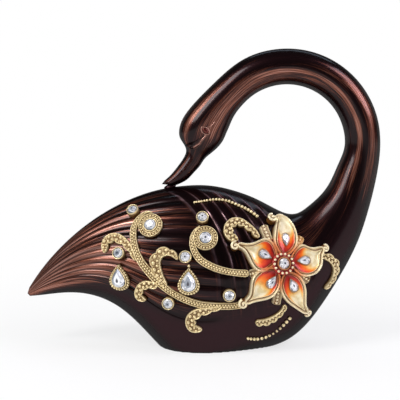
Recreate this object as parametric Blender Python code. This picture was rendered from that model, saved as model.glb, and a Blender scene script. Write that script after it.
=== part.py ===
"""Swan figurine: one lacquered casting of body, looped neck, head and beak, with gilded
relief castings and faceted stones set on its left side.

Metres, +Z up. The origin is the middle of the flat under the body, on the figure's plane of
symmetry. +X points to the breast and the decorated side faces -Y.
"""

import math
from collections import namedtuple

import bmesh
import bpy
import numpy as np
from mathutils import Matrix, Vector
from mathutils.bvhtree import BVHTree

# A rib is one cross-section of the casting: its point on the back, its point on the belly, half
# its width, how far down from the back it is widest, and how full its upper and lower half are.
# Along the neck and head, the back runs on as the inside of the loop and the throat.
Rib = namedtuple("Rib", "back belly half_width waist crown keel")

TAIL_TIP = (-0.1614, 0.0424)
BODY_RIBS = (
    Rib((-0.1598, 0.0475), (-0.1592, 0.0402), 0.0026, 0.50, 2.0, 2.0),
    Rib((-0.1538, 0.0567), (-0.1524, 0.0408), 0.0065, 0.50, 1.9, 2.0),
    Rib((-0.1329, 0.0819), (-0.1317, 0.0432), 0.0170, 0.52, 1.9, 2.0),
    Rib((-0.1069, 0.1043), (-0.1066, 0.0419), 0.0275, 0.54, 1.9, 2.0),
    Rib((-0.0812, 0.1198), (-0.0810, 0.0308), 0.0370, 0.55, 1.9, 2.1),
    Rib((-0.0555, 0.1300), (-0.0566, 0.0082), 0.0450, 0.56, 1.9, 2.2),
    Rib((-0.0300, 0.1350), (-0.0315, -0.0150), 0.0505, 0.52, 1.9, 2.4),
    Rib((-0.0087, 0.1358), (-0.0086, -0.0200), 0.0530, 0.52, 1.9, 2.4),
    Rib((0.0126, 0.1322), (0.0173, -0.0120), 0.0525, 0.54, 1.9, 2.3),
    Rib((0.0313, 0.1258), (0.0406, -0.0045), 0.0500, 0.55, 1.9, 2.2),
    Rib((0.0467, 0.1181), (0.0635, 0.0042), 0.0460, 0.56, 2.0, 2.1),
    Rib((0.0596, 0.1120), (0.0802, 0.0191), 0.0410, 0.56, 2.0, 2.1),
    Rib((0.0698, 0.1116), (0.0946, 0.0384), 0.0345, 0.55, 2.0, 2.0),
    Rib((0.0800, 0.1181), (0.1089, 0.0619), 0.0280, 0.54, 2.0, 2.0),
    Rib((0.0901, 0.1275), (0.1214, 0.0871), 0.0230, 0.52, 2.0, 2.0),
    Rib((0.0985, 0.1399), (0.1304, 0.1146), 0.0190, 0.51, 2.0, 2.0),
    Rib((0.1042, 0.1531), (0.1359, 0.1377), 0.0165, 0.50, 2.0, 2.0),
)
LOOP_CENTRE = (0.0604, 0.1718)
LOOP_RADIUS = 0.0644
LOOP_FROM = math.radians(-3)
LOOP_TO = math.radians(139)
LOOP_RIBS = 8
NECK_RADIUS = 0.0150
HEAD_RIBS = (
    Rib((0.0149, 0.1929), (-0.0130, 0.2106), 0.0150, 0.50, 2.0, 2.0),
    Rib((0.0116, 0.1853), (-0.0214, 0.2013), 0.0148, 0.50, 2.0, 2.0),
    Rib((0.0090, 0.1794), (-0.0282, 0.1912), 0.0143, 0.50, 2.0, 2.0),
    Rib((0.0057, 0.1726), (-0.0307, 0.1819), 0.0134, 0.50, 2.0, 2.0),
    Rib((0.0006, 0.1667), (-0.0295, 0.1752), 0.0118, 0.50, 2.0, 2.0),
    Rib((-0.0045, 0.1624), (-0.0261, 0.1697), 0.0094, 0.50, 2.0, 2.0),
    Rib((-0.0082, 0.1592), (-0.0248, 0.1660), 0.0078, 0.50, 2.0, 2.0),
    Rib((-0.0125, 0.1531), (-0.0265, 0.1599), 0.0070, 0.50, 2.0, 2.0),
    Rib((-0.0181, 0.1467), (-0.0317, 0.1522), 0.0066, 0.50, 2.0, 2.0),
    Rib((-0.0252, 0.1398), (-0.0380, 0.1446), 0.0060, 0.50, 2.0, 2.0),
    Rib((-0.0345, 0.1355), (-0.0430, 0.1400), 0.0048, 0.50, 2.0, 2.0),
)
BEAK_TIP = (-0.0455, 0.1368)

# Where the rings of the mesh lie, measured along the middle of the casting from the tail, and the
# carving: flutes that fan out from the tail, then quills that sweep down from the back.
TAIL_RINGS = 11
TAIL_CROWDING = 0.8
FLUTES = 11
FLUTE_TOP = math.radians(85)
FLUTE_BOTTOM = math.radians(-20)
FLUTE_DEPTH = 0.0012
FLUTE_FULL_GIRTH = 0.030
WING_START = 0.128
WING_QUILLS = 6
WING_PITCH = 0.0124
WING_DEPTH = 0.0012
WING_LEAN = 0.039
LEAN_RISE = 0.085
BACK_FADE = 3
FLANK_FADE = 0.4
BREAST_RINGS = 8
KEEL_STEPS = 4
NECK_SIDES = 14
NECK_PITCH = 0.0106
HEAD_PITCH = 0.0057

# The eyes are low almond bumps, and the tip of the bill is cast onto the back
EYE_PLACE = (-0.0086, 0.0116, 0.1830)
EYE_RADII = (0.0042, 0.0020, 0.0026)
EYE_PITCH = math.radians(40)
JOINT_PLACE = (-0.0385, 0, 0.1345)
JOINT_RADII = (0.0052, 0.0036, 0.0022)
JOINT_PITCH = math.radians(-14)

# Ornament on the left side. A route is drawn as seen square on from the left, in X and Z, and is
# laid on the skin from there. Every casting and setting keeps the seating gap to the skin.
SEAT_GAP = 0.0003
SEAT_STEP = 0.00012
STRIP_PITCH = 0.0060
STEM_WIDTH = 0.0058
STEM_HEIGHT = 0.0022
LEAF_WIDTH = 0.0072
LEAF_HEIGHT = 0.0026
DISC_RADIUS = 0.0102
DISC_HEIGHT = 0.0026

# A section is drawn from the left edge over the top to the right edge, across in half widths and
# up in heights, and closes along the skin.
STEM_SECTION = ((-1, 0), (-0.85, 1.0), (0, 0.7), (0.85, 1.0), (1, 0))
LEAF_SECTION = ((-1, 0), (-0.85, 0.7), (-0.2, 0.8), (0.45, 1.0), (0.9, 0.8), (1, 0))
PETAL_SECTION = (
    (-1, 0), (-0.92, 1.0), (-0.68, 0.72), (0, 0.45), (0.68, 0.72), (0.92, 1.0), (1, 0),
    (0.33, 0), (-0.33, 0),
)
SEPAL_SECTION = ((-1, 0), (-0.7, 0.8), (0, 1.0), (0.7, 0.8), (1, 0))
BEAD_SECTION = ((-1, 0), (-0.55, 1), (0.55, 1), (1, 0))

# A strip is a cast strip's route, its widths in shares of the full width, evenly spread, and the
# number of scallops along its outer edge.
Strip = namedtuple("Strip", "route widths scallops")
LONG_STEM = Strip(
    (
        (-0.0625, 0.1110), (-0.0670, 0.1060), (-0.0675, 0.0975), (-0.0655, 0.0865),
        (-0.0615, 0.0780), (-0.0560, 0.0710), (-0.0465, 0.0615), (-0.0395, 0.0555),
        (-0.0270, 0.0485), (-0.0140, 0.0440), (0.0010, 0.0425), (0.0165, 0.0428),
    ),
    (0.8, 1.0, 1.0, 1.0, 1.1, 1.2, 1.15, 1.0, 1.0, 1.0, 1.0, 1.0),
    0,
)
LONG_LEAVES = (
    Strip(
        ((-0.0652, 0.0775), (-0.0690, 0.0852), (-0.0770, 0.0933), (-0.0850, 0.0948),
         (-0.0910, 0.0895), (-0.0905, 0.0825)),
        (0.4, 0.7, 0.95, 1.1, 1.0, 0.6),
        5,
    ),
    Strip(
        ((-0.0405, 0.0570), (-0.0465, 0.0675), (-0.0490, 0.0775), (-0.0450, 0.0840),
         (-0.0375, 0.0850), (-0.0305, 0.0795)),
        (0.8, 1.0, 1.25, 1.2, 0.9, 0.4),
        5,
    ),
    Strip(
        ((-0.0465, 0.0590), (-0.0510, 0.0585), (-0.0570, 0.0585), (-0.0625, 0.0535),
         (-0.0625, 0.0480), (-0.0565, 0.0460)),
        (0.6, 0.9, 1.0, 1.0, 0.9, 0.5),
        4,
    ),
    Strip(
        ((0.0045, 0.0420), (-0.0060, 0.0390), (-0.0150, 0.0365), (-0.0205, 0.0310),
         (-0.0190, 0.0240), (-0.0110, 0.0230)),
        (0.5, 0.7, 1.0, 1.15, 1.1, 0.5),
        5,
    ),
)
LONG_DISC = (-0.0535, 0.1055)
UPPER_STEM = Strip(
    (
        (-0.0190, 0.0940), (-0.0175, 0.0865), (-0.0130, 0.0800), (-0.0070, 0.0760),
        (0.0030, 0.0720), (0.0145, 0.0695), (0.0265, 0.0685),
    ),
    (0.8, 1.0, 1.05, 1.05, 1.0, 1.0, 1.15),
    0,
)
UPPER_DISC = (-0.0085, 0.0965)
LOOSE_LEAVES = {
    "upper_leaf": Strip(
        ((0.0316, 0.1000), (0.0270, 0.1040), (0.0195, 0.1085), (0.0125, 0.1080),
         (0.0090, 0.1025), (0.0135, 0.0975)),
        (0.5, 0.8, 1.1, 1.1, 1.0, 0.7),
        5,
    ),
    "right_leaf": Strip(
        ((0.0895, 0.0790), (0.0945, 0.0775), (0.0995, 0.0705), (0.0990, 0.0640),
         (0.0960, 0.0580), (0.0900, 0.0520)),
        (0.7, 0.95, 1.0, 0.9, 0.8, 0.5),
        5,
    ),
    "lower_leaf": Strip(
        ((0.0545, 0.0375), (0.0520, 0.0345), (0.0465, 0.0305), (0.0395, 0.0280),
         (0.0320, 0.0280)),
        (0.55, 0.7, 0.85, 0.85, 0.75),
        5,
    ),
}
BEAD_ROWS = {
    "upper_bead_row": Strip(
        ((-0.0175, 0.1235), (-0.0100, 0.1245), (-0.0010, 0.1255), (0.0085, 0.1245),
         (0.0180, 0.1210), (0.0275, 0.1165), (0.0340, 0.1120)),
        (0.85, 1.0),
        18,
    ),
    "lower_bead_row": Strip(
        ((0.0265, 0.0135), (0.0335, 0.0125), (0.0420, 0.0140), (0.0515, 0.0200),
         (0.0575, 0.0265), (0.0605, 0.0300)),
        (0.85, 1.0),
        16,
    ),
}
BEAD_WIDTH = 0.0025
SCALLOP_IN = 0.72
SCALLOP_OUT = 1.15
BEAD_HEIGHT = 0.0014
SIDE_REACH = 0.03
SKIN_ROWS = 360
SKIN_SIDES = 240

# The flower: five petals and five sepals round a collar, each drawn from its root to its tip
FLOWER_PLACE = (0.0540, 0.0750)
PETAL_HEIGHT = 0.0052
PETAL_PITCH = 0.0066
PETAL_RISE = (0.50, 0.62, 0.8, 0.95, 1.0, 1.0, 0.95)

# A petal is its full width, its widths in shares of that, evenly spread, its route, and the middle
# and the radius of its curled tip.
Petal = namedtuple("Petal", "width widths route curl curl_radius")
PETALS = (
    Petal(
        0.0190,
        (0.42, 0.80, 1.0, 1.0, 0.88, 0.62, 0.36),
        (
            (0.0545, 0.0800), (0.0556, 0.0877), (0.0564, 0.0944), (0.0556, 0.1008),
            (0.0526, 0.1060), (0.0470, 0.1090),
        ),
        (0.0460, 0.1086),
        0.0036,
    ),
    Petal(
        0.0258,
        (0.50, 0.93, 1.0, 0.86, 0.50, 0.24, 0.20),
        (
            (0.0501, 0.0779), (0.0424, 0.0808), (0.0355, 0.0832), (0.0285, 0.0860),
            (0.0223, 0.0888), (0.0165, 0.0908),
        ),
        (0.0152, 0.0898),
        0.0032,
    ),
    Petal(
        0.0208,
        (0.50, 0.85, 1.0, 1.0, 0.72, 0.35, 0.25),
        (
            (0.0500, 0.0714), (0.0444, 0.0655), (0.0389, 0.0594), (0.0334, 0.0535),
            (0.0272, 0.0481), (0.0228, 0.0455),
        ),
        (0.0218, 0.0447),
        0.0034,
    ),
    Petal(
        0.0192,
        (0.50, 0.85, 1.0, 0.95, 0.70, 0.40, 0.25),
        (
            (0.0563, 0.0692), (0.0598, 0.0611), (0.0630, 0.0530), (0.0667, 0.0447),
            (0.0708, 0.0381), (0.0738, 0.0352),
        ),
        (0.0744, 0.0348),
        0.0028,
    ),
    Petal(
        0.0235,
        (0.50, 0.88, 1.0, 1.0, 0.78, 0.38, 0.25),
        (
            (0.0592, 0.0758), (0.0664, 0.0761), (0.0736, 0.0769), (0.0796, 0.0794),
            (0.0850, 0.0838), (0.0888, 0.0862),
        ),
        (0.0894, 0.0858),
        0.0028,
    ),
)
SEPAL_WIDTH = 0.0075
SEPAL_HEIGHT = 0.0026
SEPALS = (
    ((0.0600, 0.0810), (0.0665, 0.0870), (0.0730, 0.0940)),
    ((0.0480, 0.0840), (0.0430, 0.0940), (0.0385, 0.1045)),
    ((0.0460, 0.0730), (0.0370, 0.0700), (0.0270, 0.0680)),
    ((0.0530, 0.0660), (0.0510, 0.0560), (0.0485, 0.0430)),
    ((0.0620, 0.0710), (0.0690, 0.0665), (0.0790, 0.0605)),
)
SEPAL_WIDTHS = (0.6, 1.05, 0.4)

# Stones, each with the cup, collar or pocket that holds it
STONE_GAP = 0.0003
WALL = 0.0008
CHATON_RADIUS = 0.0040
CHATON_HEIGHT = 0.0044
CHATON_PLACES = (
    (-0.0680, 0.1152), (-0.0790, 0.0830), (-0.0110, 0.1115), (-0.0245, 0.0816),
    (-0.0382, 0.0444), (0.0105, 0.0515),
)
SCROLL_STONE_RADIUS = 0.0047
CENTRE_STONE_RADIUS = 0.0045
COLLAR_HEIGHT = 0.0062
COLLAR_FLANGE = 0.0036
DROP_POINT = 1.1
DROP_HALF = (0.0058, 0.0080)
DROP_RIM = 0.0032
DROP_HEIGHT = 0.0030
DROP_PLACES = {"left": (-0.0790, 0.0635), "right": (-0.0220, 0.0625)}
PETAL_STONE_HALF = (0.0023, 0.0045)
PETAL_STONE_HEIGHT = 0.0021
PETAL_STONE_DEPTH = 0.0016
PETAL_STONES = (
    (0.0568, 0.0930), (0.0395, 0.0825), (0.0450, 0.0612), (0.0623, 0.0580), (0.0713, 0.0768),
)

# A row is one ring of a turned or drop-shaped piece: how far it reaches past the outline, its
# height, and by how much every other point of it stands higher. The heights of a flange, a stone
# and a curl are in shares of the full height, and the reaches of the last two in shares of their
# half width.
Row = namedtuple("Row", "reach height ripple", defaults=(0,))
FLANGE_FOOT = 0.45
FLANGE_CREST = Row(0.7, 0.7, 0.2)
FLANGE_ROOT = 0.62
STONE_ROWS = (Row(-0.12, 0), Row(0, 0.35), Row(-0.22, 0.75), Row(-0.48, 1))
CHATON_STONE_RISE = 0.75
CENTRE_STONE_RISE = 0.7
DROP_STONE_RISE = 1.3
CURL_ROWS = (Row(0, 0.8), Row(-0.5, 1.1))

SHARP_ANGLE = math.radians(40)
Finish = namedtuple("Finish", "name colour roughness metallic")
LACQUER = Finish("lacquer", (0.05, 0.016, 0.010), 0.15, 0.6)
GILT = Finish("gilt", (0.62, 0.47, 0.20), 0.4, 0.9)
PETAL_PAINT = Finish("petal_paint", (0.85, 0.55, 0.22), 0.35, 0.6)
CRYSTAL = Finish("crystal", (0.85, 0.88, 0.92), 0.03, 0.0)


def neck_ribs():
    """The ribs of the looped neck, a round bar bent along an arc."""
    ribs = []
    for angle in np.linspace(LOOP_FROM, LOOP_TO, LOOP_RIBS):
        way = np.array([math.cos(angle), math.sin(angle)])
        inside = np.array(LOOP_CENTRE) + (LOOP_RADIUS - NECK_RADIUS) * way
        outside = np.array(LOOP_CENTRE) + (LOOP_RADIUS + NECK_RADIUS) * way
        ribs.append(Rib(tuple(inside), tuple(outside), NECK_RADIUS, 0.5, 2.0, 2.0))
    return ribs


def natural_spline(knots, values, at):
    """Values at the places asked for, on the natural cubic spline through the knots."""
    knots, values, at = np.asarray(knots), np.asarray(values), np.asarray(at)
    gaps = np.diff(knots)
    slopes = np.diff(values, axis=0) / gaps[:, None]
    count = len(knots)
    system = np.eye(count)
    right = np.zeros_like(values)
    for i in range(1, count - 1):
        system[i, i - 1 : i + 2] = gaps[i - 1], 2 * (gaps[i - 1] + gaps[i]), gaps[i]
        right[i] = 6 * (slopes[i] - slopes[i - 1])
    bend = np.linalg.solve(system, right)
    i = np.clip(np.searchsorted(knots, at) - 1, 0, count - 2)
    gap = gaps[i][..., None]
    before = (at - knots[i])[..., None]
    after = gap - before
    return (
        (bend[i] * after**3 + bend[i + 1] * before**3) / (6 * gap)
        + (values[i] / gap - bend[i] * gap / 6) * after
        + (values[i + 1] / gap - bend[i + 1] * gap / 6) * before
    )


def smooth_step(value):
    """0 below 0 and 1 above 1, with an even slope between."""
    value = np.clip(value, 0, 1)
    return value * value * (3 - 2 * value)


def unit(vectors):
    """The vectors at length one."""
    return vectors / np.linalg.norm(vectors, axis=-1, keepdims=True)


class Casting:
    """The swan's smooth skin: a point for each place along the casting and angle round it."""

    def __init__(self):
        ribs = [*BODY_RIBS, *neck_ribs(), *HEAD_RIBS]
        self.values = np.array([[*r.back, *r.belly, *r[2:]] for r in ribs])
        middle = (self.values[:, 0:2] + self.values[:, 2:4]) / 2
        steps = np.linalg.norm(np.diff(middle, axis=0), axis=1)
        self.knots = np.concatenate([[0], np.cumsum(steps)])
        self.length = self.knots[-1]
        self.neck_start = self.knots[len(BODY_RIBS) - 1]
        self.head_start = self.knots[len(BODY_RIBS) + LOOP_RIBS]

    def points(self, along, angle):
        """Points of the skin. An angle of 90 degrees is on the back, and 0 on the left side."""
        at = natural_spline(self.knots, self.values, along)
        back, belly = at[..., 0:2], at[..., 2:4]
        half_width, waist, crown, keel = (at[..., i] for i in range(4, 8))
        widest = back + waist[..., None] * (belly - back)
        above = np.sin(angle) >= 0
        power = 2 / np.where(above, crown, keel)
        rise = np.abs(np.sin(angle)) ** power
        side = np.sign(np.cos(angle)) * np.abs(np.cos(angle)) ** power
        reach = np.where(above[..., None], back - widest, belly - widest)
        place = widest + reach * rise[..., None]
        return np.stack([place[..., 0], -half_width * side, place[..., 1]], axis=-1)

    def normals(self, along, angle):
        """Unit normals of the skin, pointing out."""
        step = 1e-4
        lengthwise = self.points(along + step, angle) - self.points(along - step, angle)
        around = self.points(along, angle + step) - self.points(along, angle - step)
        return unit(np.cross(lengthwise, around))


def body_angles():
    """Angles of the points of a body ring: the back, the fluted left side, the keel, the right."""
    fluted = np.linspace(FLUTE_TOP, FLUTE_BOTTOM, 2 * FLUTES + 1)
    keel = np.linspace(FLUTE_BOTTOM, -math.pi / 2, KEEL_STEPS + 1)[1:]
    left = np.concatenate([[math.pi / 2], fluted, keel])
    right = -math.pi - left[-2:0:-1]
    return np.concatenate([left, right])


def flute_pattern():
    """How deep each point of a body ring is carved, from 0 on a ridge to 1 in a hollow."""
    hollow = np.zeros(2 * FLUTES + 1)
    hollow[1::2] = 1
    left = np.concatenate([[0], hollow, np.zeros(KEEL_STEPS)])
    return np.concatenate([left, left[-2:0:-1]])


def lean_pattern(angles):
    """How far on each point of a leaning ring lies: 0 on the back, 1 at the side, 0 at the keel."""
    down = np.abs((angles - math.pi / 2 + math.pi) % (2 * math.pi) - math.pi)
    lowest = math.pi / 2 - FLUTE_BOTTOM
    rising = down / (math.pi / 2)
    falling = lowest / (math.pi / 2) * (math.pi - down) / (math.pi - lowest)
    return np.minimum(rising, falling)


def body_rings(casting):
    """The carved rings of the body: flutes on the tail, leaning quills on the wing, then plain."""
    tail = np.linspace(0, 1, TAIL_RINGS + 1)[:-1] ** TAIL_CROWDING * WING_START
    wing = WING_START + WING_PITCH / 2 * np.arange(2 * WING_QUILLS)
    breast = np.linspace(wing[-1], casting.neck_start, BREAST_RINGS + 1)[1:]
    angles = body_angles()
    flank = np.clip(BACK_FADE * np.abs(np.cos(angles)), 0, 1)
    flank *= smooth_step((np.sin(angles) - math.sin(FLUTE_BOTTOM)) / FLANK_FADE)
    rings = []
    for i, along in enumerate([*tail, *wing, *breast]):
        on_wing = TAIL_RINGS <= i < TAIL_RINGS + len(wing)
        quill = WING_DEPTH * ((i - TAIL_RINGS) % 2) * on_wing
        lean = min(
            smooth_step((along - WING_START + LEAN_RISE) / LEAN_RISE),
            smooth_step((casting.neck_start - along) / (casting.neck_start - wing[-1])),
        )
        place = along + lean * WING_LEAN * lean_pattern(angles)
        girth = natural_spline(casting.knots, casting.values, np.array([along]))[0, 4]
        flute = FLUTE_DEPTH * min(1, girth / FLUTE_FULL_GIRTH) * (i < TAIL_RINGS)
        depth = flute * flute_pattern() + quill * flank
        skin = casting.points(place, angles)
        rings.append(skin - depth[:, None] * casting.normals(place, angles))
    return rings


def neck_rings(casting):
    """The plain rings of the neck, head and bill."""
    neck_count = round((casting.head_start - casting.neck_start) / NECK_PITCH)
    head_count = round((casting.length - casting.head_start) / HEAD_PITCH)
    neck = np.linspace(casting.neck_start, casting.head_start, neck_count + 1)[1:]
    head = np.linspace(casting.head_start, casting.length, head_count + 1)[1:]
    angles = math.pi / 2 - 2 * math.pi * np.arange(NECK_SIDES) / NECK_SIDES
    return [casting.points(np.full(NECK_SIDES, along), angles) for along in [*neck, *head]]


def turned(count):
    """The angle down from the back of each point of a ring, for stitching unlike rings."""
    if count == NECK_SIDES:
        return 2 * math.pi * np.arange(count) / count
    return (math.pi / 2 - body_angles()) % (2 * math.pi)


def stitch(mesh, first, second):
    """Join two closed rings of unlike counts with triangles, always taking the shorter step."""
    a_turn = [*turned(len(first)), 2 * math.pi]
    b_turn = [*turned(len(second)), 2 * math.pi]
    a = b = 0
    while a < len(first) or b < len(second):
        one = first[a % len(first)]
        two = second[b % len(second)]
        if b >= len(second) or (a < len(first) and a_turn[a + 1] <= b_turn[b + 1]):
            a += 1
            mesh.faces.new((one, first[a % len(first)], two))
        else:
            b += 1
            mesh.faces.new((one, second[b % len(second)], two))


def bridge(mesh, first, second):
    """Join two closed rings of the same count with quads."""
    count = len(first)
    for i in range(count):
        j = (i + 1) % count
        mesh.faces.new((first[i], first[j], second[j], second[i]))


def cap(mesh, ring, tip):
    """Close a ring to a point."""
    for i in range(len(ring)):
        mesh.faces.new((ring[i], ring[(i + 1) % len(ring)], tip))


def add_object(name, mesh, material=None):
    """An object in the scene from a finished bmesh, in triangles so that unions stay exact."""
    bmesh.ops.recalc_face_normals(mesh, faces=mesh.faces)
    bmesh.ops.triangulate(mesh, faces=mesh.faces)
    data = bpy.data.meshes.new(name)
    mesh.to_mesh(data)
    mesh.free()
    data.shade_smooth()
    data.set_sharp_from_angle(angle=SHARP_ANGLE)
    piece = bpy.data.objects.new(name, data)
    bpy.context.collection.objects.link(piece)
    if material:
        data.materials.append(material)
    return piece


def make_material(finish):
    """A Principled BSDF material of a finish."""
    material = bpy.data.materials.new(finish.name)
    material.use_nodes = True
    shader = material.node_tree.nodes["Principled BSDF"]
    shader.inputs["Base Color"].default_value = (*finish.colour, 1)
    shader.inputs["Roughness"].default_value = finish.roughness
    shader.inputs["Metallic"].default_value = finish.metallic
    return material


def combine(target, tool, operation):
    """Unite a hidden tool with the target, or cut it out."""
    tool.hide_render = True
    tool.display_type = "WIRE"
    modifier = target.modifiers.new(tool.name, "BOOLEAN")
    modifier.operation = operation
    modifier.solver = "EXACT"
    modifier.object = tool


def ellipsoid(name, centre, radii, pitch, sides, rows):
    """A closed egg of the given half sizes, pitched down about the Y axis."""
    mesh = bmesh.new()
    bmesh.ops.create_uvsphere(mesh, u_segments=sides, v_segments=rows, radius=1)
    turn = Matrix.Rotation(pitch, 4, "Y")
    mesh.transform(Matrix.Translation(centre) @ turn @ Matrix.Diagonal((*radii, 1)))
    return add_object(name, mesh)


def make_body(casting, lacquer):
    """The whole swan in one casting, with the bill joined to the back and the base cut flat."""
    mesh = bmesh.new()
    rings = [*body_rings(casting), *neck_rings(casting)]
    rings = [[mesh.verts.new(point) for point in ring] for ring in rings]
    tail_tip = mesh.verts.new((TAIL_TIP[0], 0, TAIL_TIP[1]))
    beak_tip = mesh.verts.new((BEAK_TIP[0], 0, BEAK_TIP[1]))
    cap(mesh, rings[0], tail_tip)
    for first, second in zip(rings, rings[1:]):
        if len(first) == len(second):
            bridge(mesh, first, second)
        else:
            stitch(mesh, first, second)
    cap(mesh, rings[-1], beak_tip)
    everything = [*mesh.verts, *mesh.edges, *mesh.faces]
    bmesh.ops.bisect_plane(
        mesh, geom=everything, plane_co=(0, 0, 0), plane_no=(0, 0, -1), clear_outer=True
    )
    bmesh.ops.holes_fill(mesh, edges=[e for e in mesh.edges if e.is_boundary])
    body = add_object("swan_body", mesh, lacquer)
    for side, name in ((-1, "left_eye"), (1, "right_eye")):
        centre = (EYE_PLACE[0], side * EYE_PLACE[1], EYE_PLACE[2])
        eye = ellipsoid(name, centre, EYE_RADII, EYE_PITCH, 10, 6)
        combine(body, eye, "UNION")
    joint = ellipsoid("bill_joint", JOINT_PLACE, JOINT_RADII, JOINT_PITCH, 12, 8)
    combine(body, joint, "UNION")
    return body


class Skin:
    """The smooth skin as a surface that ornament is seated on."""

    def __init__(self, casting):
        along = np.linspace(0.0005, casting.length - 0.0005, SKIN_ROWS)
        angle = np.linspace(-math.pi, math.pi, SKIN_SIDES, endpoint=False)
        grid = casting.points(*np.meshgrid(along, angle, indexing="ij"))
        points = [Vector(point) for point in grid.reshape(-1, 3)]
        faces = []
        for i in range(SKIN_ROWS - 1):
            for j in range(SKIN_SIDES):
                k = (j + 1) % SKIN_SIDES
                row = i * SKIN_SIDES
                faces.append((row + k, row + j, row + SKIN_SIDES + j, row + SKIN_SIDES + k))
        self.tree = BVHTree.FromPolygons(points, faces)

    def press(self, point):
        """The nearest place on the skin and the way out of it there."""
        place, normal, _, _ = self.tree.find_nearest(point)
        return place, normal

    def seen(self, spot):
        """The place on the skin seen square on from the left at the spot (x, z)."""
        start = Vector((spot[0], -1, spot[1]))
        place, normal, _, _ = self.tree.ray_cast(start, Vector((0, 1, 0)))
        if place is None:
            return self.press(Vector((spot[0], -SIDE_REACH, spot[1])))
        return place, normal

    def raised(self, point, height):
        """The point's place on the skin, raised off it."""
        place, normal = self.press(point)
        return place + normal * height


def spread(values, count):
    """The values drawn out or in to the count, evenly spread."""
    return np.interp(np.linspace(0, 1, count), np.linspace(0, 1, len(values)), values)


def even_route(route, pitch, stations=None):
    """Points at an even pitch along a smooth curve through the route."""
    route = np.array(route)
    knots = np.concatenate([[0], np.cumsum(np.linalg.norm(np.diff(route, axis=0), axis=1))])
    count = stations or max(3, round(knots[-1] / pitch) + 1)
    return natural_spline(knots, route, np.linspace(0, knots[-1], count))


def strip_rings(skin, strip, width, height, section, lift):
    """The cross-sections of a strip along its route, as rings of points on the skin."""
    stations = 2 * strip.scallops + 1 if strip.scallops else None
    spots = even_route(strip.route, STRIP_PITCH, stations)
    seats = [skin.seen(spot) for spot in spots]
    places = np.array([place for place, _ in seats])
    ahead = unit(np.gradient(places, axis=0))
    halves = spread(strip.widths, len(spots)) * width / 2
    rings = []
    for i, (place, normal) in enumerate(seats):
        across = normal.cross(Vector(ahead[i])).normalized()
        swell = 1 if not strip.scallops else (SCALLOP_IN, SCALLOP_OUT)[i % 2]
        ring = []
        for side, up in section:
            reach = side * halves[i] * (swell if side > 0 else 1)
            ring.append(skin.raised(place + across * reach, lift + up * height * swell))
        rings.append(ring)
    return rings


def solid_from(rings):
    """A closed mesh from rings of points of the same count, with both ends faced."""
    mesh = bmesh.new()
    rings = [[mesh.verts.new(point) for point in ring] for ring in rings]
    for first, second in zip(rings, rings[1:]):
        bridge(mesh, first, second)
    mesh.faces.new(rings[0])
    mesh.faces.new(rings[-1][::-1])
    return mesh


def make_strip(skin, name, strip, width, height, section, lift=SEAT_GAP, material=None):
    """A cast strip as an object."""
    rings = strip_rings(skin, strip, width, height, section, lift)
    return add_object(name, solid_from(rings), material)


def circle(sides):
    """The unit circle as an outline."""
    turn = 2 * math.pi * np.arange(sides) / sides
    return np.stack([np.sin(turn), np.cos(turn)], axis=-1)


def drop(sides):
    """A drop's outline, one half wide and one half long each way, its point up."""
    turn = 2 * math.pi * np.arange(sides) / sides
    across = np.sin(turn) * np.sin(turn / 2) ** DROP_POINT
    return np.stack([across / np.abs(across).max(), np.cos(turn)], axis=-1)


class Mount:
    """A flat place on the skin, with the way up and the way out of it."""

    def __init__(self, skin, spot, aim=(0, 1)):
        self.skin = skin
        self.place, self.out = skin.seen(spot)
        up = Vector((aim[0], 0, aim[1]))
        self.up = (up - self.out * up.dot(self.out)).normalized()
        self.right = self.up.cross(self.out)

    def point(self, across, up, height):
        """A point in the place's own directions, from the seat."""
        return self.place + self.right * across + self.up * up + self.out * (SEAT_GAP + height)

    def build(self, name, outline, half, rows, material, seated=True, floor=0.0):
        """A closed piece of stacked rings. Its underside follows the skin or lies on a floor."""
        mesh = bmesh.new()
        rings = []
        if seated:
            for share in (0.5, 1.0):
                reach = half + rows[0].reach
                flat = [self.point(*(share * reach * p), 0) for p in outline]
                rings.append([mesh.verts.new(self.skin.raised(p, SEAT_GAP)) for p in flat])
            bottom = mesh.verts.new(self.skin.raised(self.place, SEAT_GAP))
        else:
            bottom = mesh.verts.new(self.point(0, 0, floor))
        for row in rows:
            ring = []
            for i, p in enumerate(outline):
                size = (half + row.reach) * p
                ring.append(mesh.verts.new(self.point(*size, row.height + row.ripple * (i % 2))))
            rings.append(ring)
        top = mesh.verts.new(self.point(0, 0, rows[-1].height))
        cap(mesh, rings[0], bottom)
        for first, second in zip(rings, rings[1:]):
            bridge(mesh, first, second)
        cap(mesh, rings[-1], top)
        return add_object(name, mesh, material)

    def cup(self, name, outline, half, flange, height, depth, material):
        """A seated cup that holds a stone: an outer flange, a wall and a bore with a floor."""
        rim = STONE_GAP + WALL
        rows = [Row(rim, height / 2)]
        if flange:
            crest = FLANGE_CREST
            rows = [
                Row(rim + flange, FLANGE_FOOT * height),
                Row(rim + crest.reach * flange, crest.height * height, crest.ripple * height),
                Row(rim, FLANGE_ROOT * height),
            ]
        bore = [Row(STONE_GAP, height), Row(STONE_GAP, height - depth)]
        return self.build(name, outline, half, [*rows, Row(rim, height), *bore], material)

    def stone(self, name, outline, half, floor, height, material):
        """A flat-backed faceted stone that stands on a cup's floor."""
        back = floor + STONE_GAP
        rows = [Row(row.reach * half[0], back + row.height * height) for row in STONE_ROWS]
        return self.build(name, outline, half, rows, material, seated=False, floor=back)


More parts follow.
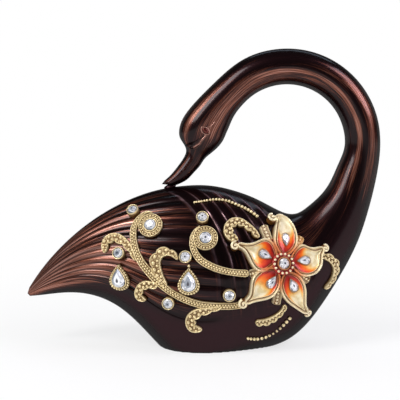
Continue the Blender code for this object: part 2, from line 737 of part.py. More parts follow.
def make_disc(skin, name, spot, gilt, crystal, stone_name):
    """The round eye of a scroll, with its stone. The disc is united with its stem."""
    mount = Mount(skin, spot)
    half = np.array([SCROLL_STONE_RADIUS] * 2)
    flange = DISC_RADIUS - SCROLL_STONE_RADIUS - STONE_GAP - WALL
    disc = mount.cup(name, circle(16), half, flange, DISC_HEIGHT, DISC_HEIGHT / 2, gilt)
    mount.stone(stone_name, circle(8), half, DISC_HEIGHT / 2, DISC_HEIGHT, crystal)
    return disc


def make_scrolls(skin, gilt, crystal):
    """The two scrolls, each one casting of stem, eye and leaves, and the loose leaves."""
    long_disc = make_disc(skin, "long_eye", LONG_DISC, gilt, crystal, "long_scroll_stone")
    long_scroll = make_strip(
        skin, "long_scroll", LONG_STEM, STEM_WIDTH, STEM_HEIGHT, STEM_SECTION, material=gilt
    )
    combine(long_scroll, long_disc, "UNION")
    for i, leaf in enumerate(LONG_LEAVES):
        lift = SEAT_GAP + SEAT_STEP * (i % 2 + 1)
        tool = make_strip(
            skin, f"long_leaf_{i + 1}", leaf, LEAF_WIDTH, LEAF_HEIGHT, LEAF_SECTION, lift
        )
        combine(long_scroll, tool, "UNION")
    upper_disc = make_disc(skin, "upper_eye", UPPER_DISC, gilt, crystal, "upper_scroll_stone")
    upper_scroll = make_strip(
        skin, "upper_scroll", UPPER_STEM, STEM_WIDTH, STEM_HEIGHT, STEM_SECTION, material=gilt
    )
    combine(upper_scroll, upper_disc, "UNION")
    for name, leaf in LOOSE_LEAVES.items():
        make_strip(skin, name, leaf, LEAF_WIDTH, LEAF_HEIGHT, LEAF_SECTION, material=gilt)


def make_beads(skin, gilt):
    """The two rows of beads."""
    for name, row in BEAD_ROWS.items():
        make_strip(skin, name, row, BEAD_WIDTH, BEAD_HEIGHT, BEAD_SECTION, material=gilt)


def make_settings(skin, gilt, crystal):
    """The round and drop-shaped stones in their own cups."""
    half = np.array([CHATON_RADIUS] * 2)
    depth = CHATON_HEIGHT / 2
    rise = CHATON_STONE_RISE * CHATON_HEIGHT
    for i, spot in enumerate(CHATON_PLACES):
        mount = Mount(skin, spot)
        mount.cup(f"chaton_setting_{i + 1}", circle(10), half, 0, CHATON_HEIGHT, depth, gilt)
        mount.stone(f"chaton_{i + 1}", circle(8), half, depth, rise, crystal)
    half = np.array(DROP_HALF)
    depth = DROP_HEIGHT / 2
    rise = DROP_STONE_RISE * DROP_HEIGHT
    flange = DROP_RIM - STONE_GAP - WALL
    for side, spot in DROP_PLACES.items():
        mount = Mount(skin, spot)
        mount.cup(f"drop_setting_{side}", drop(18), half, flange, DROP_HEIGHT, depth, gilt)
        mount.stone(f"drop_stone_{side}", drop(10), half, depth, rise, crystal)


def make_flower(skin, petal_paint, crystal):
    """The flower: collar, petals and sepals as one casting, with a stone in each."""
    mount = Mount(skin, FLOWER_PLACE)
    half = np.array([CENTRE_STONE_RADIUS] * 2)
    depth = COLLAR_HEIGHT / 2
    rise = CENTRE_STONE_RISE * COLLAR_HEIGHT
    flower = mount.cup(
        "flower", circle(16), half, COLLAR_FLANGE, COLLAR_HEIGHT, depth, petal_paint
    )
    mount.stone("flower_centre_stone", circle(8), half, depth, rise, crystal)
    for i, petal in enumerate(PETALS):
        rings = petal_rings(skin, petal, SEAT_GAP + SEAT_STEP * (len(PETALS) + 1 - i))
        combine(flower, add_object(f"petal_{i + 1}", solid_from(rings)), "UNION")
        half = np.array([petal.curl_radius] * 2)
        rows = [Row(row.reach * half[0], row.height * PETAL_HEIGHT) for row in CURL_ROWS]
        curl = Mount(skin, petal.curl).build(f"curl_{i + 1}", circle(8), half, rows, None)
        combine(flower, curl, "UNION")
    for i, route in enumerate(SEPALS):
        sepal = Strip(route, SEPAL_WIDTHS, 0)
        lift = SEAT_GAP + SEAT_STEP / 2
        tool = make_strip(
            skin, f"sepal_{i + 1}", sepal, SEPAL_WIDTH, SEPAL_HEIGHT, SEPAL_SECTION, lift
        )
        combine(flower, tool, "UNION")
    half = np.array(PETAL_STONE_HALF)
    for i, spot in enumerate(PETAL_STONES):
        aim = (FLOWER_PLACE[0] - spot[0], FLOWER_PLACE[1] - spot[1])
        mount = Mount(skin, spot, aim)
        rows = [Row(STONE_GAP, PETAL_STONE_DEPTH), Row(STONE_GAP, PETAL_HEIGHT * 2)]
        pocket = mount.build(
            f"pocket_{i + 1}", drop(8), half, rows, None, seated=False, floor=PETAL_STONE_DEPTH
        )
        combine(flower, pocket, "DIFFERENCE")
        mount.stone(
            f"petal_stone_{i + 1}", drop(8), half, PETAL_STONE_DEPTH, PETAL_STONE_HEIGHT, crystal
        )


def petal_rings(skin, petal, lift):
    """The cross-sections of a cupped petal with a raised rim, from its root to its curled tip."""
    spots = even_route(petal.route, PETAL_PITCH)
    seats = [skin.seen(spot) for spot in spots]
    ahead = unit(np.gradient(np.array([place for place, _ in seats]), axis=0))
    halves = spread(petal.widths, len(spots)) * petal.width / 2
    heights = spread(PETAL_RISE, len(spots)) * PETAL_HEIGHT
    rings = []
    for i, (place, normal) in enumerate(seats):
        across = normal.cross(Vector(ahead[i])).normalized()
        ring = []
        for side, up in PETAL_SECTION:
            foot = place + across * (side * halves[i])
            ring.append(skin.raised(foot, lift + up * heights[i]))
        rings.append(ring)
    return rings


def main():
    """Build every piece in place."""
    for old in list(bpy.data.objects):
        bpy.data.objects.remove(old, do_unlink=True)
    casting = Casting()
    skin = Skin(casting)
    gilt = make_material(GILT)
    crystal = make_material(CRYSTAL)
    make_body(casting, make_material(LACQUER))
    make_scrolls(skin, gilt, crystal)
    make_beads(skin, gilt)
    make_settings(skin, gilt, crystal)
    make_flower(skin, make_material(PETAL_PAINT), crystal)


main()
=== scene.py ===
"""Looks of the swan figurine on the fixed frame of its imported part.

A lacquered casting of body, looped neck, head and bill carries gilded relief castings, foil-backed
stones in cups, and an enamelled flower. Lengths are in metres, +Z is up, +X points to the breast
and the decorated side faces -Y.
"""

import logging
import math
from dataclasses import dataclass, field
from enum import Enum
from typing import NamedTuple

import bmesh
import bpy
import numpy as np
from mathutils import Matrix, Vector

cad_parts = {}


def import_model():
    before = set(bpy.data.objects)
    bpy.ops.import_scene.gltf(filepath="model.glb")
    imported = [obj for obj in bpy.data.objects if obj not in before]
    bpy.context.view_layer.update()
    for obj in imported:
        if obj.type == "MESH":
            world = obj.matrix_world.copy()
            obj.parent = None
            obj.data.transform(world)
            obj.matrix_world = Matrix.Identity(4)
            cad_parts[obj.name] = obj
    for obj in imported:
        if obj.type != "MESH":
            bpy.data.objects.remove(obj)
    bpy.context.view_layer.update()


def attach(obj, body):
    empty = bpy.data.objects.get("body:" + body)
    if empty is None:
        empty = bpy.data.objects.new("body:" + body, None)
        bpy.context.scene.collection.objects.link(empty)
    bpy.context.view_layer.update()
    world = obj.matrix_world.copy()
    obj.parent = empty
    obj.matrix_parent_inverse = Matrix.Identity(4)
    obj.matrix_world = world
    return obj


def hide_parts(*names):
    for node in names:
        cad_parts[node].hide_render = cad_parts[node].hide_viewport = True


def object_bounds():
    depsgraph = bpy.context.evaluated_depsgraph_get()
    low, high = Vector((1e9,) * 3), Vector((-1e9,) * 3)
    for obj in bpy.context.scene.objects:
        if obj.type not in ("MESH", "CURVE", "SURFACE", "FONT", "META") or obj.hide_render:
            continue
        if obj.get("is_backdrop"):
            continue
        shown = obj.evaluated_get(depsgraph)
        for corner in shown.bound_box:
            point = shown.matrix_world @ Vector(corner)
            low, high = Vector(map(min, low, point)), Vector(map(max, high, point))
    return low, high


Array = np.ndarray
Pair = tuple[float, float]
Triple = tuple[float, float, float]
Route = tuple[Pair, ...]
Bands = tuple[tuple[float, int, float], ...]
Tones = dict[str, Array]
Socket = bpy.types.NodeSocket
Outputs = bpy.types.NodeOutputs
Tree = bpy.types.NodeTree
Node = bpy.types.Node
Object = bpy.types.Object
Material = bpy.types.Material
LOG = logging.getLogger("swan")
BODY = "root"
TINY = 1e-12
SHARP_ANGLE = math.radians(55)


class Slot(Enum):
    """The record's material slots."""

    LACQUER = "lacquer"
    GILT = "gilt"
    ENAMEL = "petal_enamel"
    CRYSTAL = "crystal"


class Rib(NamedTuple):
    """A cross-section of the casting: its back, its belly, half its width, how far down it is
    widest, and how full its upper and lower half are."""

    back: Pair
    belly: Pair
    half_width: float
    waist: float = 0.5
    crown: float = 2.0
    keel: float = 2.0


class Strip(NamedTuple):
    """A cast strip: its route seen square on from the left, in X and Z, its widths in shares of
    the full width, evenly spread, and the number of scallops along its outer edge."""

    route: Route
    widths: tuple[float, ...]
    scallops: int = 0


class Petal(NamedTuple):
    """A petal: its full width, its widths in shares of that, its route from root to tip, and its
    curled tip: the middle, the radius, the angle where the curl starts and the way it winds."""

    width: float
    widths: tuple[float, ...]
    route: Route
    curl: Pair
    curl_radius: float
    curl_start: float
    winding: int = 1


TAIL_TIP = (-0.1614, 0.0424)
BODY_RIBS = (
    Rib((-0.1598, 0.0475), (-0.1592, 0.0402), 0.0026),
    Rib((-0.1538, 0.0567), (-0.1524, 0.0408), 0.0065, 0.5, 1.9, 2.0),
    Rib((-0.1329, 0.0819), (-0.1317, 0.0432), 0.017, 0.52, 1.9, 2.0),
    Rib((-0.1069, 0.1043), (-0.1066, 0.0419), 0.0275, 0.54, 1.9, 2.0),
    Rib((-0.0812, 0.1198), (-0.081, 0.0308), 0.037, 0.55, 1.9, 2.1),
    Rib((-0.0555, 0.13), (-0.0566, 0.0082), 0.045, 0.56, 1.9, 2.2),
    Rib((-0.03, 0.135), (-0.0315, -0.015), 0.0505, 0.52, 1.9, 2.4),
    Rib((-0.0087, 0.1358), (-0.0086, -0.02), 0.053, 0.52, 1.9, 2.4),
    Rib((0.0126, 0.1322), (0.0173, -0.012), 0.0525, 0.54, 1.9, 2.3),
    Rib((0.0313, 0.1258), (0.0406, -0.0045), 0.05, 0.55, 1.9, 2.2),
    Rib((0.0467, 0.1181), (0.0635, 0.0042), 0.046, 0.56, 2.0, 2.1),
    Rib((0.0596, 0.112), (0.0802, 0.0191), 0.041, 0.56, 2.0, 2.1),
    Rib((0.0698, 0.1116), (0.0946, 0.0384), 0.0345, 0.55),
    Rib((0.08, 0.1181), (0.1089, 0.0619), 0.028, 0.54),
    Rib((0.0901, 0.1275), (0.1214, 0.0871), 0.023, 0.52),
    Rib((0.0985, 0.1399), (0.1304, 0.1146), 0.019, 0.51),
    Rib((0.1042, 0.1531), (0.1359, 0.1377), 0.0165),
)
LOOP_CENTRE = (0.0604, 0.1718)
LOOP_RADIUS = 0.0644
LOOP_FROM = math.radians(-3)
LOOP_TO = math.radians(139)
LOOP_RIBS = 8
NECK_RADIUS = 0.015
HEAD_RIBS = (
    Rib((0.0149, 0.1929), (-0.013, 0.2106), 0.015),
    Rib((0.0116, 0.1853), (-0.0214, 0.2013), 0.0148),
    Rib((0.009, 0.1794), (-0.0282, 0.1912), 0.0143),
    Rib((0.0057, 0.1726), (-0.0307, 0.1819), 0.0134),
    Rib((0.0006, 0.1667), (-0.0295, 0.1752), 0.0118),
    Rib((-0.0045, 0.1624), (-0.0261, 0.1697), 0.0094),
    Rib((-0.0082, 0.1592), (-0.0248, 0.166), 0.0078),
    Rib((-0.0125, 0.1531), (-0.0265, 0.1599), 0.007),
    Rib((-0.0181, 0.1467), (-0.0317, 0.1522), 0.0066),
    Rib((-0.0252, 0.1398), (-0.038, 0.1446), 0.006),
    Rib((-0.0345, 0.1355), (-0.043, 0.14), 0.0048),
)
BEAK_TIP = (-0.0455, 0.1368)

SEAT_GAP = 0.0003
SUNK = 0.0012
BORE_GAP = 0.0003
WALL = 0.0008
LONG_STEM = Strip(
    (
        (-0.0515, 0.1148), (-0.0562, 0.115), (-0.0602, 0.113), (-0.064, 0.1092),
        (-0.0668, 0.104), (-0.0675, 0.0975), (-0.0655, 0.0865), (-0.0615, 0.078),
        (-0.056, 0.071), (-0.0465, 0.0615), (-0.0395, 0.0555), (-0.027, 0.0485),
        (-0.014, 0.044), (0.001, 0.0425), (0.0165, 0.0428), (0.0212, 0.0436),
    ),
    (0.15, 0.62, 0.95, 1.0, 1.05, 1.1, 1.2, 1.15, 1.0, 1.0, 1.0, 1.0, 1.0, 1.0, 1.05),
)
LONG_LEAVES = (
    Strip(
        ((-0.0652, 0.0775), (-0.069, 0.0852), (-0.077, 0.0933), (-0.085, 0.0948),
         (-0.091, 0.0895), (-0.0905, 0.0825)),
        (0.4, 0.7, 0.95, 1.1, 1.0, 0.6), 5,
    ),
    Strip(
        ((-0.0405, 0.057), (-0.0465, 0.0675), (-0.049, 0.0775), (-0.045, 0.084),
         (-0.0375, 0.085), (-0.0305, 0.0795)),
        (0.8, 1.0, 1.25, 1.2, 0.9, 0.4), 5,
    ),
    Strip(
        ((-0.0465, 0.059), (-0.051, 0.0585), (-0.057, 0.0585), (-0.0625, 0.0535),
         (-0.0625, 0.048), (-0.0565, 0.046)),
        (0.6, 0.9, 1.0, 1.0, 0.9, 0.5), 4,
    ),
    Strip(
        ((0.0045, 0.042), (-0.006, 0.039), (-0.015, 0.0365), (-0.0205, 0.031),
         (-0.019, 0.024), (-0.011, 0.023)),
        (0.5, 0.7, 1.0, 1.15, 1.1, 0.5), 5,
    ),
)
LONG_DISC = (-0.0535, 0.1055)
UPPER_STEM = Strip(
    (
        (-0.0128, 0.1056), (-0.0163, 0.1028), (-0.0188, 0.0985), (-0.0193, 0.093),
        (-0.0175, 0.0865), (-0.013, 0.08), (-0.007, 0.076), (0.003, 0.072),
        (0.0145, 0.0695), (0.0265, 0.0685),
    ),
    (0.15, 0.65, 0.95, 1.05, 1.05, 1.0, 1.0, 1.15),
)
UPPER_DISC = (-0.0085, 0.0965)
LOOSE_LEAVES = {
    "upper_leaf": Strip(
        ((0.0345, 0.0955), (0.0316, 0.1), (0.027, 0.104), (0.0195, 0.1083), (0.013, 0.1078),
         (0.0098, 0.1025), (0.0124, 0.097), (0.018, 0.095)),
        (0.6, 0.75, 0.85, 1.0, 1.1, 1.1, 1.0, 0.7), 6,
    ),
    "right_leaf": Strip(
        ((0.0832, 0.08), (0.089, 0.0798), (0.0945, 0.0775), (0.0995, 0.0705), (0.099, 0.064),
         (0.096, 0.058), (0.09, 0.052)),
        (0.6, 0.8, 0.95, 1.0, 0.9, 0.8, 0.5), 6,
    ),
    "lower_leaf": Strip(
        ((0.0562, 0.0425), (0.055, 0.0382), (0.052, 0.0345), (0.0465, 0.0305), (0.0395, 0.028),
         (0.032, 0.028)),
        (0.55, 0.6, 0.7, 0.85, 0.85, 0.75), 5,
    ),
}
BEAD_ROWS = {
    "upper_bead_row": Strip(
        ((-0.0175, 0.1235), (-0.01, 0.1245), (-0.001, 0.1255), (0.0085, 0.1245),
         (0.018, 0.121), (0.0275, 0.1165), (0.034, 0.112)),
        (0.74, 0.92, 1.08), 22,
    ),
    "lower_bead_row": Strip(
        ((0.0265, 0.0135), (0.0335, 0.0125), (0.042, 0.014), (0.0515, 0.02),
         (0.0575, 0.0265), (0.0605, 0.03)),
        (0.95, 1.0, 0.95, 0.72, 1.05, 1.1), 13,
    ),
}
FLOWER_PLACE = (0.054, 0.075)
PETALS = (
    Petal(
        0.019, (0.42, 0.8, 1.0, 1.0, 0.88, 0.62, 0.36),
        ((0.0545, 0.08), (0.0556, 0.0877), (0.0564, 0.0944), (0.0556, 0.1008), (0.0526, 0.106),
         (0.047, 0.109)),
        (0.046, 0.1086), 0.0036, math.radians(75),
    ),
    Petal(
        0.0258, (0.5, 0.93, 1.0, 0.86, 0.5, 0.24, 0.2),
        ((0.0501, 0.0779), (0.0424, 0.0808), (0.0355, 0.0832), (0.0285, 0.086), (0.0223, 0.0888),
         (0.0165, 0.0908)),
        (0.0152, 0.0898), 0.0032, math.radians(80),
    ),
    Petal(
        0.0208, (0.5, 0.85, 1.0, 1.0, 0.72, 0.35, 0.25),
        ((0.05, 0.0714), (0.0444, 0.0655), (0.0389, 0.0594), (0.0334, 0.0535), (0.0272, 0.0481),
         (0.0228, 0.0455)),
        (0.0218, 0.0447), 0.0034, math.radians(110),
    ),
    Petal(
        0.0192, (0.5, 0.85, 1.0, 0.95, 0.7, 0.4, 0.25),
        ((0.0563, 0.0692), (0.0598, 0.0611), (0.063, 0.053), (0.0667, 0.0447), (0.0708, 0.0381),
         (0.0738, 0.0352)),
        (0.0744, 0.0348), 0.0028, math.radians(215),
    ),
    Petal(
        0.0235, (0.5, 0.88, 1.0, 1.0, 0.78, 0.38, 0.25),
        ((0.0592, 0.0758), (0.0664, 0.0761), (0.0736, 0.0769), (0.0796, 0.0794), (0.085, 0.0838),
         (0.0888, 0.0862)),
        (0.0894, 0.0858), 0.0028, math.radians(105), -1,
    ),
)
SEPALS = (
    ((0.06, 0.081), (0.0655, 0.0875), (0.0702, 0.0945)),
    ((0.048, 0.084), (0.043, 0.094), (0.0385, 0.1045)),
    ((0.046, 0.073), (0.037, 0.07), (0.027, 0.068)),
    ((0.053, 0.066), (0.051, 0.056), (0.0485, 0.043)),
    ((0.062, 0.071), (0.0685, 0.0662), (0.0752, 0.0607)),
)
CHATON_PLACES = (
    (-0.068, 0.1152), (-0.079, 0.083), (-0.011, 0.1115), (-0.0245, 0.0816),
    (-0.0382, 0.0444), (0.0105, 0.0515),
)
DROP_PLACES = {"left": (-0.079, 0.0635), "right": (-0.022, 0.0625)}
PETAL_STONES = (
    (0.0568, 0.093), (0.0395, 0.0825), (0.045, 0.0612), (0.0623, 0.058), (0.0713, 0.0768),
)


class Spline:
    """A natural cubic spline through rows of values at rising knots."""

    def __init__(self, knots: Array, values: Array) -> None:
        """Solve for the bend at each knot.

        Args:
            knots: where the values stand.
            values: one row of values per knot.
        """
        self.knots = np.asarray(knots, float)
        self.values = np.asarray(values, float)
        gaps = np.diff(self.knots)
        slopes = np.diff(self.values, axis=0) / gaps[:, None]
        inner = np.arange(1, len(self.knots) - 1)
        system = np.eye(len(self.knots))
        system[inner, inner - 1] = gaps[:-1]
        system[inner, inner] = 2 * (gaps[:-1] + gaps[1:])
        system[inner, inner + 1] = gaps[1:]
        right = np.zeros_like(self.values)
        right[1:-1] = 6 * np.diff(slopes, axis=0)
        self.bends = np.linalg.solve(system, right)

    def __call__(self, at: Array) -> Array:
        """Rows of values: between two knots, the cubic whose bend runs evenly from one to the next.

        Args:
            at: where the values are wanted, of any shape.

        Returns:
            The values, with one more axis than the places asked for.
        """
        at = np.asarray(at, float)
        i = np.clip(np.searchsorted(self.knots, at) - 1, 0, len(self.knots) - 2)
        gap = (self.knots[i + 1] - self.knots[i])[..., None]
        before = (at - self.knots[i])[..., None]
        after = gap - before
        return (
            (self.bends[i] * after**3 + self.bends[i + 1] * before**3) / (6 * gap)
            + (self.values[i] / gap - self.bends[i] * gap / 6) * after
            + (self.values[i + 1] / gap - self.bends[i + 1] * gap / 6) * before
        )


def unit(vectors: Array) -> Array:
    """The vectors at length one."""
    return vectors / np.maximum(np.linalg.norm(vectors, axis=-1, keepdims=True), TINY)


def smooth_step(value: Array) -> Array:
    """0 below 0 and 1 above 1, with an even slope between."""
    value = np.clip(value, 0, 1)
    return value * value * (3 - 2 * value)


def hump(distance: Array, radius: float) -> Array:
    """A round hump: 1 at no distance and 0 from the radius on."""
    return np.sqrt(np.clip(1 - (distance / radius) ** 2, 0, 1))


def rise(value: Array, start: float, length: float) -> Array:
    """0 up to the start and 1 from a length past it, with an even slope between."""
    return smooth_step((value - start) / length)


def bell(distance: Array, width: float) -> Array:
    """A bell curve: 1 at no distance, falling as the exponential of the distance squared."""
    return np.exp(-((distance / width) ** 2))


def ringed(distance: Array, dot: Array, ground: float) -> Array:
    """How light gilding is round raised dots: light on a dot, painted shade in a thin ring close round
    it, and the ground's own tone further off.

    Args:
        distance: how far off the nearest dot's middle, in its radii.
        dot: how high the dot stands there, and 0 off it.
        ground: the tone of the ground.

    Returns:
        The tone at each place.
    """
    ring_place, ring_width, foot = 1.15, 0.2, 0.35
    # The thin ring is painted shade round the foot of each dot.
    ring = bell(distance - ring_place, ring_width)
    return np.where(dot > 0, foot + (1 - foot) * dot, ground * (1 - ring))


def lengths(points: Array) -> Array:
    """How far along a line of points each of them lies."""
    chords = np.linalg.norm(np.diff(points, axis=0), axis=1)
    return np.concatenate([[0], np.cumsum(chords)])


def even_route(route: tuple, pitch: float) -> tuple[Array, Array]:
    """A smooth curve through the route, read at an even pitch.

    Args:
        route: the points that the curve passes through.
        pitch: about how far apart the points read from it lie.

    Returns:
        The points, and how far along each lies.
    """
    points = np.array(route)
    knots = lengths(points)
    run = np.linspace(0, knots[-1], max(4, round(knots[-1] / pitch) + 1))
    return Spline(knots, points)(run), run


def spread(values: tuple[float, ...], share: Array) -> Array:
    """Values evenly spread from 0 to 1, joined by a smooth curve and read at each share."""
    return Spline(np.linspace(0, 1, len(values)), np.array(values)[:, None])(share)[..., 0]


def off_line(across: Array, up: Array, line: tuple) -> Array:
    """How far each point lies from a line of straight runs.

    Args:
        across, up: the points, of any shape.
        line: the line's own points.

    Returns:
        The distance to the nearest run.
    """
    nearest = np.full(np.shape(across), np.inf)
    for (x0, z0), (x1, z1) in zip(line, line[1:]):
        dx, dz = x1 - x0, z1 - z0
        share = ((across - x0) * dx + (up - z0) * dz) / (dx * dx + dz * dz)
        share = np.clip(share, 0, 1)
        nearest = np.minimum(nearest, np.hypot(across - x0 - share * dx, up - z0 - share * dz))
    return nearest


class Seats(NamedTuple):
    """Places on the skin: where each lies along and round it, its point and the way out."""

    along: Array
    angle: Array
    place: Array
    out: Array


class Skin:
    """The swan's smooth skin, a surface of two parameters: the way along its middle, and the angle
    round it, 90 degrees on the back and 0 on the left side."""

    step = 1e-4
    far_along = 0.01
    far_round = 0.35
    side_weight = np.array([1.0, 0.03, 1.0])
    side_reach = -0.03
    search_start = 0.002
    search_steps = 170
    search_angles = np.radians(np.arange(-85, 86, 3))
    near_rounds = 3
    far_rounds = 8

    def __init__(self) -> None:
        """Join the ribs of the body, the looped neck and the head by one spline."""
        ribs = [*BODY_RIBS, *self.neck_ribs(), *HEAD_RIBS]
        values = np.array([[*r.back, *r.belly, *r[2:]] for r in ribs])
        middle = (values[:, 0:2] + values[:, 2:4]) / 2
        knots = lengths(middle)
        self.spline = Spline(knots, values)
        self.length = float(knots[-1])
        self.neck_start = float(knots[len(BODY_RIBS) - 1])
        self.head_start = float(knots[len(BODY_RIBS) + LOOP_RIBS])

    @staticmethod
    def neck_ribs() -> list[Rib]:
        """The ribs of the looped neck, a round bar bent along an arc."""
        ribs = []
        for turn in np.linspace(LOOP_FROM, LOOP_TO, LOOP_RIBS):
            way = np.array([math.cos(turn), math.sin(turn)])
            inside = np.array(LOOP_CENTRE) + (LOOP_RADIUS - NECK_RADIUS) * way
            outside = np.array(LOOP_CENTRE) + (LOOP_RADIUS + NECK_RADIUS) * way
            ribs.append(Rib(tuple(inside), tuple(outside), NECK_RADIUS))
        return ribs

    def points(self, along: Array, angle: Array) -> Array:
        """Points of the skin: each rib is two halves of a rounded oval that meet where it is widest.

        Args:
            along: the way along the middle of the casting, from the tail.
            angle: the angle round it.

        Returns:
            The points, one more axis than the parameters.
        """
        at = self.spline(along)
        back, belly = at[..., 0:2], at[..., 2:4]
        half_width, waist, crown, keel = (at[..., i] for i in range(4, 8))
        widest = back + waist[..., None] * (belly - back)
        above = np.sin(angle) >= 0
        power = 2 / np.where(above, crown, keel)
        rise = np.abs(np.sin(angle)) ** power
        side = np.sign(np.cos(angle)) * np.abs(np.cos(angle)) ** power
        reach = np.where(above[..., None], back - widest, belly - widest)
        place = widest + reach * rise[..., None]
        return np.stack([place[..., 0], -half_width * side, place[..., 1]], axis=-1)

    def slopes(self, along: Array, angle: Array) -> tuple[Array, Array]:
        """How the point moves for a step along and for a step round."""
        ahead = self.points(along + self.step, angle) - self.points(along - self.step, angle)
        around = self.points(along, angle + self.step) - self.points(along, angle - self.step)
        return ahead / (2 * self.step), around / (2 * self.step)

    def normals(self, along: Array, angle: Array) -> Array:
        """Unit normals, pointing out."""
        return unit(np.cross(*self.slopes(along, angle)))

    def settle(self, targets: Array, along: Array, angle: Array, weight: Array, rounds: int) -> Seats:
        """The places on the skin nearest to the targets, by repeated straight-line guesses.

        Args:
            targets: the points to come near to.
            along, angle: where the search starts.
            weight: how much a miss along X, Y and Z counts.
            rounds: how often the guess is made.

        Returns:
            The seats found.
        """
        for _ in range(rounds):
            ahead, around = (slope * weight for slope in self.slopes(along, angle))
            miss = (targets - self.points(along, angle)) * weight
            aa, bb = (ahead * ahead).sum(-1), (around * around).sum(-1)
            ab, am, bm = ((u * v).sum(-1) for u, v in ((ahead, around), (ahead, miss), (around, miss)))
            scale = aa * bb - ab * ab + TINY
            along = along + np.clip((bb * am - ab * bm) / scale, -self.far_along, self.far_along)
            angle = angle + np.clip((aa * bm - ab * am) / scale, -self.far_round, self.far_round)
            along = np.clip(along, self.step, self.length - self.step)
        return Seats(along, angle, self.points(along, angle), self.normals(along, angle))

    def near(self, targets: Array, along: Array, angle: Array) -> Seats:
        """The places nearest to the targets, searched for from those given."""
        return self.settle(targets, along, angle, np.ones(3), self.near_rounds)

    def seen(self, spots: Array) -> Seats:
        """The places on the left of the body seen square on at the spots, in X and Z, searched for
        from the nearest of a grid of points of the skin."""
        spots = np.atleast_2d(np.asarray(spots, float))
        steps = np.linspace(self.search_start, self.neck_start, self.search_steps)
        along, angle = (part.ravel() for part in np.meshgrid(steps, self.search_angles))
        points = self.points(along, angle)
        gap = np.hypot(spots[:, None, 0] - points[:, 0], spots[:, None, 1] - points[:, 2])
        first = gap.argmin(axis=1)
        sides = np.full(len(spots), self.side_reach)
        targets = np.stack([spots[:, 0], sides, spots[:, 1]], axis=-1)
        return self.settle(targets, along[first], angle[first], self.side_weight, self.far_rounds)


@dataclass
class Shell:
    """A closed surface: its points, faces of one size each, and values that vary over it."""

    points: Array
    faces: list[Array]
    tones: Tones = field(default_factory=dict)

    def toned(self, **levels: float) -> "Shell":
        """The shell itself, with these values the same all over it and no others."""
        self.tones = {name: np.full(len(self.points), float(level)) for name, level in levels.items()}
        return self

    @staticmethod
    def joined(shells: list["Shell"]) -> "Shell":
        """Several shells as one, each keeping its own faces; a value that one lacks is 0 there."""
        names = sorted({name for shell in shells for name in shell.tones})
        starts = np.cumsum([0, *(len(shell.points) for shell in shells)])
        faces = [part + start for shell, start in zip(shells, starts) for part in shell.faces]
        tones = {}
        for name in names:
            parts = [shell.tones.get(name, np.zeros(len(shell.points))) for shell in shells]
            tones[name] = np.concatenate(parts)
        return Shell(np.concatenate([shell.points for shell in shells]), faces, tones)

    @staticmethod
    def slab(top: Array, bottom: Array, tones: Tones) -> "Shell":
        """A plate between two grids of points of one shape, with walls round its four sides.

        Args:
            top, bottom: the grids.
            tones: values for each point of the top; the bottom takes the same.

        Returns:
            The closed plate.
        """
        rows, columns = top.shape[:2]
        count = rows * columns
        index = np.arange(count).reshape(rows, columns)
        rim = np.concatenate([index[0, :-1], index[:-1, -1], index[-1, :0:-1], index[:0:-1, 0]])
        after = np.roll(rim, -1)
        walls = np.stack([rim, after, after + count, rim + count], axis=-1)
        points = np.concatenate([top.reshape(-1, 3), bottom.reshape(-1, 3)])
        both = {name: np.tile(tone.ravel(), 2) for name, tone in tones.items()}
        return Shell(points, [quads(index), quads(index + count)[:, ::-1], walls], both)

    @staticmethod
    def rings(rows: Array, tones: Tones | None = None, ends: Array | None = None) -> "Shell":
        """A surface through closed rings, each end drawn to a point.

        Args:
            rows: the rings, as rings by points by 3.
            tones: values for each point of the rings.
            ends: the two end points; without them, the middle of the first and the last ring.

        Returns:
            The closed surface.
        """
        count, sides = rows.shape[:2]
        if ends is None:
            ends = np.stack([rows[0].mean(axis=0), rows[-1].mean(axis=0)])
        index = wrapped(np.arange(count * sides).reshape(count, sides))
        first, last = count * sides, count * sides + 1
        start = np.stack([index[0, 1:], index[0, :-1], np.full(sides, first)], axis=-1)
        stop = np.stack([index[-1, :-1], index[-1, 1:], np.full(sides, last)], axis=-1)
        values = {}
        for name, tone in (tones or {}).items():
            values[name] = np.concatenate([tone.ravel(), [tone[0].mean(), tone[-1].mean()]])
        points = np.concatenate([rows.reshape(-1, 3), ends])
        return Shell(points, [quads(index), start, stop], values)

    def object(self, name: str, flat: bool = False, vectors: Tones | None = None) -> Object:
        """A mesh object of the shell, with its values as point attributes.

        Args:
            name: the object's name.
            flat: whether its faces are cut facets, shaded flat.
            vectors: attributes of three numbers a point.

        Returns:
            The object, linked to the scene.
        """
        mesh = bpy.data.meshes.new(name)
        corners = np.concatenate([part.ravel() for part in self.faces])
        sizes = np.concatenate([np.full(len(part), part.shape[1]) for part in self.faces])
        starts = np.concatenate([[0], np.cumsum(sizes)[:-1]])
        mesh.vertices.add(len(self.points))
        mesh.vertices.foreach_set("co", self.points.ravel())
        mesh.loops.add(len(corners))
        mesh.loops.foreach_set("vertex_index", corners)
        mesh.polygons.add(len(sizes))
        mesh.polygons.foreach_set("loop_start", starts)
        mesh.update(calc_edges=True)
        mesh.validate()
        work = bmesh.new()
        work.from_mesh(mesh)
        bmesh.ops.recalc_face_normals(work, faces=work.faces)
        work.to_mesh(mesh)
        work.free()
        kept = [(tone, "FLOAT", "value", values) for tone, values in self.tones.items()]
        kept += [(tone, "FLOAT_VECTOR", "vector", rows) for tone, rows in (vectors or {}).items()]
        for label, kind, key, values in kept:
            layer = mesh.attributes.new(label, kind, "POINT")
            layer.data.foreach_set(key, values.astype(np.float32).ravel())
        if flat:
            mesh.shade_flat()
        else:
            mesh.shade_smooth()
            mesh.set_sharp_from_angle(angle=SHARP_ANGLE)
        return linked(name, mesh)


def linked(name: str, data: bpy.types.ID) -> Object:
    """An object of a mesh, a lamp or a camera, linked to the scene."""
    result = bpy.data.objects.new(name, data)
    bpy.context.scene.collection.objects.link(result)
    return result


